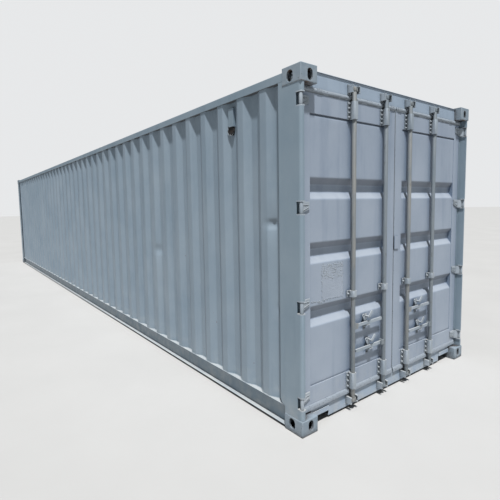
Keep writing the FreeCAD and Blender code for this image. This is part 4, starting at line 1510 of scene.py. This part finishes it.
@dataclass
class CatchEars(LeafAssembly):
    """Drilled ears welded behind each handle, beside its catch."""
    thick: float = 0.006
    radius: float = 0.014
    hole: float = 0.008
    clear: float = 0.0055
    inset: float = 0.006
    upper_tip: Flat = (-0.030, 0.058)
    lower_tip: Flat = (-0.024, -0.044)

    def eye(self, draft: Draft, middle: Flat, base: float) -> None:
        """Draw a ring with a through hole.

        Args:
            draft: Drawing that takes it.
            middle: Y and Z of the hole.
            base: X of the ring's back.
        """
        rings = []
        for k in range(25):
            angle = 2 * math.pi * k / 24
            c, s = math.cos(angle), math.sin(angle)
            ring = []
            for radius, x in ((self.hole, 0.0), (self.radius, 0.0),
                              (self.radius, self.thick * 0.75), (self.radius * 0.9, self.thick),
                              (self.hole * 1.15, self.thick), (self.hole, self.thick * 0.8)):
                ring.append((base + x, middle[0] + c * radius, middle[1] + s * radius))
            rings.append(ring)
        draft.rings(rings)

    def build(self) -> None:
        """Draw the ears of one leaf."""
        draft = Draft(f"catch_ears_{self.side.word}")
        # Near-black discs in the lower holes are painted shade.
        hole_shade_draft = Draft(f"ear_holes_{self.side.word}")
        _, leaf = self.corners()
        for number in self.numbers:
            low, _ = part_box(f"catch_{number}")
            handle_low, handle_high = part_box(f"handle_{number}")
            base = handle_low.x - self.clear - self.thick
            root = (low.y + self.inset, (handle_low.z + handle_high.z) / 2)
            for off_y, off_z in (self.upper_tip, self.lower_tip):
                tip = (root[0] + off_y, root[1] + off_z)
                run = Vector((tip[0] - root[0], tip[1] - root[1]))
                side = Vector((-run.y, run.x)).normalized() * self.radius * 0.9
                inner = Vector(root) - run.normalized() * 0.006
                outer = Vector(tip) - run.normalized() * self.radius * 0.7
                arm = [(end.x + sign * side.x, end.y + sign * side.y)
                       for end, sign in ((inner, -1), (outer, -1), (outer, 1), (inner, 1))]
                draft.plate(arm, base, self.thick, 0.001)
                self.eye(draft, tip, base)
            draft.plate([(root[0] - 0.012, root[1] - 0.030), (root[0] + 0.012, root[1] - 0.030),
                         (root[0] + 0.012, root[1] + 0.028), (root[0] - 0.012, root[1] + 0.028)],
                        leaf.x - 0.005, base - leaf.x + 0.0055, 0.0015)
            # Painted shade inside the lower hole of the ear.
            hole = (base - 0.0004, root[0] + self.lower_tip[0], root[1] + self.lower_tip[1])
            hole_shade_draft.lathe(hole, 0, [(0.0, self.hole * 1.05), (0.0022, self.hole)], 14)
        draft.object(Coat.GEAR, self.body, self.shop)
        hole_shade_draft.object(Coat.SOOT, self.body, self.shop)


# ---- carried-over nodes ---------------------------------------------------------------
class NodeDresser(Assembly):
    """Gives each remaining node its coat and eased edges."""

    COATS: dict[str, Coat] = {
        "casting": Coat.CASTING, "lock_bar_1": Coat.WORN_BAR, "lock_bar_3": Coat.WORN_BAR,
        "lock_bar": Coat.DARK_BAR, "handle": Coat.GEAR, "catch": Coat.GEAR, "hinge": Coat.GEAR,
        "bar_brackets": Coat.GEAR, "cam_keepers": Coat.GEAR, "door_seal": Coat.GASKET,
        "door_frame": Coat.LEAF, "door_panel": Coat.LEAF, "door_cover": Coat.LEAF,
        "door_header": Coat.END, "door_sill": Coat.END, "floor_boards": Coat.DECK,
        "floor_strip": Coat.STRIP}
    EASE: dict[str, float] = {
        "casting": 0.005, "door_post": 0.0025, "front_post": 0.0025, "door_header": 0.0025,
        "door_sill": 0.002, "door_frame": 0.0022, "door_cover": 0.0015, "bar_bracket": 0.0012,
        "hinge": 0.0014, "handle": 0.0015, "catch": 0.001, "lock_bar": 0.001,
        "cam_keepers": 0.0014, "top_side": 0.003, "bottom_side": 0.002, "front_": 0.002,
        "side_vents": 0.004, "cross": 0.001, "tunnel": 0.001}
    CORNERS_MEET: float = 0.00002
    SHARP: float = math.radians(40)

    def coat(self, node: str) -> Coat:
        """Coat of a node, by the start of its name."""
        return next((coat for start, coat in self.COATS.items() if node.startswith(start)),
                    Coat.SHELL)

    def build(self) -> None:
        """Dress every node."""
        for name, piece in sorted(frame["nodes"].items()):
            piece.data.materials.clear()
            piece.data.materials.append(self.shop.pot(self.coat(name)))
            for face in piece.data.polygons:
                face.material_index = 0
            ease = next((w for key, w in self.EASE.items() if name.startswith(key)), 0.0)
            if ease:
                self.ease(piece, ease)
            log.info("%s: %s", name, self.coat(name).value[0])

    def ease(self, piece: bpy.types.Object, width: float) -> None:
        """Round a node's edges with modifiers.

        Args:
            piece: The node's object.
            width: Width of the rounded edge.
        """
        weld = piece.modifiers.new("join_corners", "WELD")
        weld.merge_threshold = self.CORNERS_MEET
        bevel = piece.modifiers.new("eased_edges", "BEVEL")
        bevel.width = width
        bevel.segments = 2
        bevel.limit_method = "ANGLE"
        bevel.angle_limit = self.SHARP
        bevel.use_clamp_overlap = True
        bevel.harden_normals = False


# ---- studio ---------------------------------------------------------------------------
@dataclass
class Studio:
    """Floor, lights and camera."""
    eye: Point = (7.9614, -3.1600, 1.6560)
    yaw: float = 143.62
    pitch: float = -4.95
    roll: float = -1.14
    lens: float = 28.28
    shift: Flat = (0.0315, -0.0200)
    sun_turn: Point = (0.34, 0.2345, 1.0)
    key: float = 5.3
    key_angle: float = 0.05
    key_colour: Colour = (1.0, 0.99, 0.98)
    fill: float = 0.165
    fill_colour: Colour = (0.84, 0.92, 1.0)
    backdrop: Colour = (0.80, 0.81, 0.82)
    floor_dark: Colour = (0.43, 0.43, 0.425)
    floor_pale: Colour = (0.455, 0.455, 0.45)
    floor_reach: float = 120.0

    def camera(self) -> None:
        """Place the camera."""
        yaw, pitch, roll = (math.radians(a) for a in (self.yaw, self.pitch, self.roll))
        look = Vector((math.cos(yaw) * math.cos(pitch), math.sin(yaw) * math.cos(pitch),
                       math.sin(pitch)))
        right = look.cross(Vector((0, 0, 1))).normalized()
        up = right.cross(look)
        right, up = (right * math.cos(roll) + up * math.sin(roll),
                     up * math.cos(roll) - right * math.sin(roll))
        data = bpy.data.cameras.new("studio_camera")
        data.lens, data.sensor_width = self.lens, 36.0
        data.shift_x, data.shift_y = self.shift
        data.clip_end = 400.0
        data.dof.use_dof = False
        camera = bpy.data.objects.new("studio_camera", data)
        turn = Matrix((right, up, -look)).transposed().to_4x4()
        camera.matrix_world = Matrix.Translation(Vector(self.eye)) @ turn
        bpy.context.scene.collection.objects.link(camera)
        bpy.context.scene.camera = camera

    def floor(self) -> None:
        """Lay a plain pale floor."""
        mesh = bpy.data.meshes.new("studio_floor")
        size = self.floor_reach
        z = CAD_BOX[0][2] - 0.0005
        corners = [(-size, -size, z), (size, -size, z), (size, size, z), (-size, size, z)]
        mesh.from_pydata(corners, [], [(0, 1, 2, 3)])
        n = NodeBench("floor_pale")
        n.paint(n.blend(n.band(n.cloud(0.8, 4.0), 0.3, 0.7), self.floor_dark, self.floor_pale))
        n.shader.inputs["Roughness"].default_value = 0.9
        mesh.materials.append(n.material)
        piece = bpy.data.objects.new("studio_floor", mesh)
        bpy.context.scene.collection.objects.link(piece)

    def lights(self) -> None:
        """Hang one high soft key light in pale surroundings."""
        sun = bpy.data.lights.new("key_light", "SUN")
        sun.energy = self.key
        sun.angle = self.key_angle
        sun.color = self.key_colour
        lamp = bpy.data.objects.new("key_light", sun)
        aim = Vector((self.sun_turn[0], -self.sun_turn[1], self.sun_turn[2]))
        lamp.rotation_euler = aim.to_track_quat("Z", "Y").to_euler()
        lamp.location = aim * 20.0
        bpy.context.scene.collection.objects.link(lamp)
        world = bpy.data.worlds.new("studio_air")
        world.use_nodes = True
        tree = world.node_tree
        fill = tree.nodes["Background"]
        fill.inputs["Color"].default_value = (*self.fill_colour, 1.0)
        fill.inputs["Strength"].default_value = self.fill
        seen = tree.nodes.new("ShaderNodeBackground")
        seen.inputs["Color"].default_value = (*self.backdrop, 1.0)
        rays = tree.nodes.new("ShaderNodeLightPath")
        mix = tree.nodes.new("ShaderNodeMixShader")
        tree.links.new(rays.outputs["Is Camera Ray"], mix.inputs[0])
        tree.links.new(fill.outputs[0], mix.inputs[1])
        tree.links.new(seen.outputs[0], mix.inputs[2])
        tree.links.new(mix.outputs[0], tree.nodes["World Output"].inputs[0])
        bpy.context.scene.world = world
        bpy.context.scene.view_settings.view_transform = "Standard"

    def build(self) -> None:
        """Set up the whole studio."""
        self.camera()
        self.floor()
        self.lights()


def main() -> None:
    """Build every sub-assembly in order and report it."""
    logging.basicConfig(level=logging.INFO, format="%(message)s")
    shop = PaintShop()
    Studio().build()
    NodeDresser(shop).build()
    knocks = [Dent(5.768, 1.515, 0.060, 0.055, 0.026), Dent(5.835, 0.880, 0.045, 0.050, 0.014),
              Dent(3.812, 1.170, 0.080, 0.080, 0.018)]
    SideWall(shop, Side.LEFT, dents=knocks).build()
    SideWall(shop, Side.RIGHT, dents=[Dent(-2.1, 0.9, 0.12, 0.1, 0.016)]).build()
    for part in (FrontWall, RoofSheet):
        part(shop).build()
    for side in Side:
        for leaf_part in (DoorLeaf, GearBolts, CatchEars, HingeTrim):
            leaf_part(shop, side).build()
    for part in (CoverPlateGap, VentMouths, GhostPatch, FrameWelds, DeckScrews):
        part(shop).build()


if __name__ == "__main__":
    main()
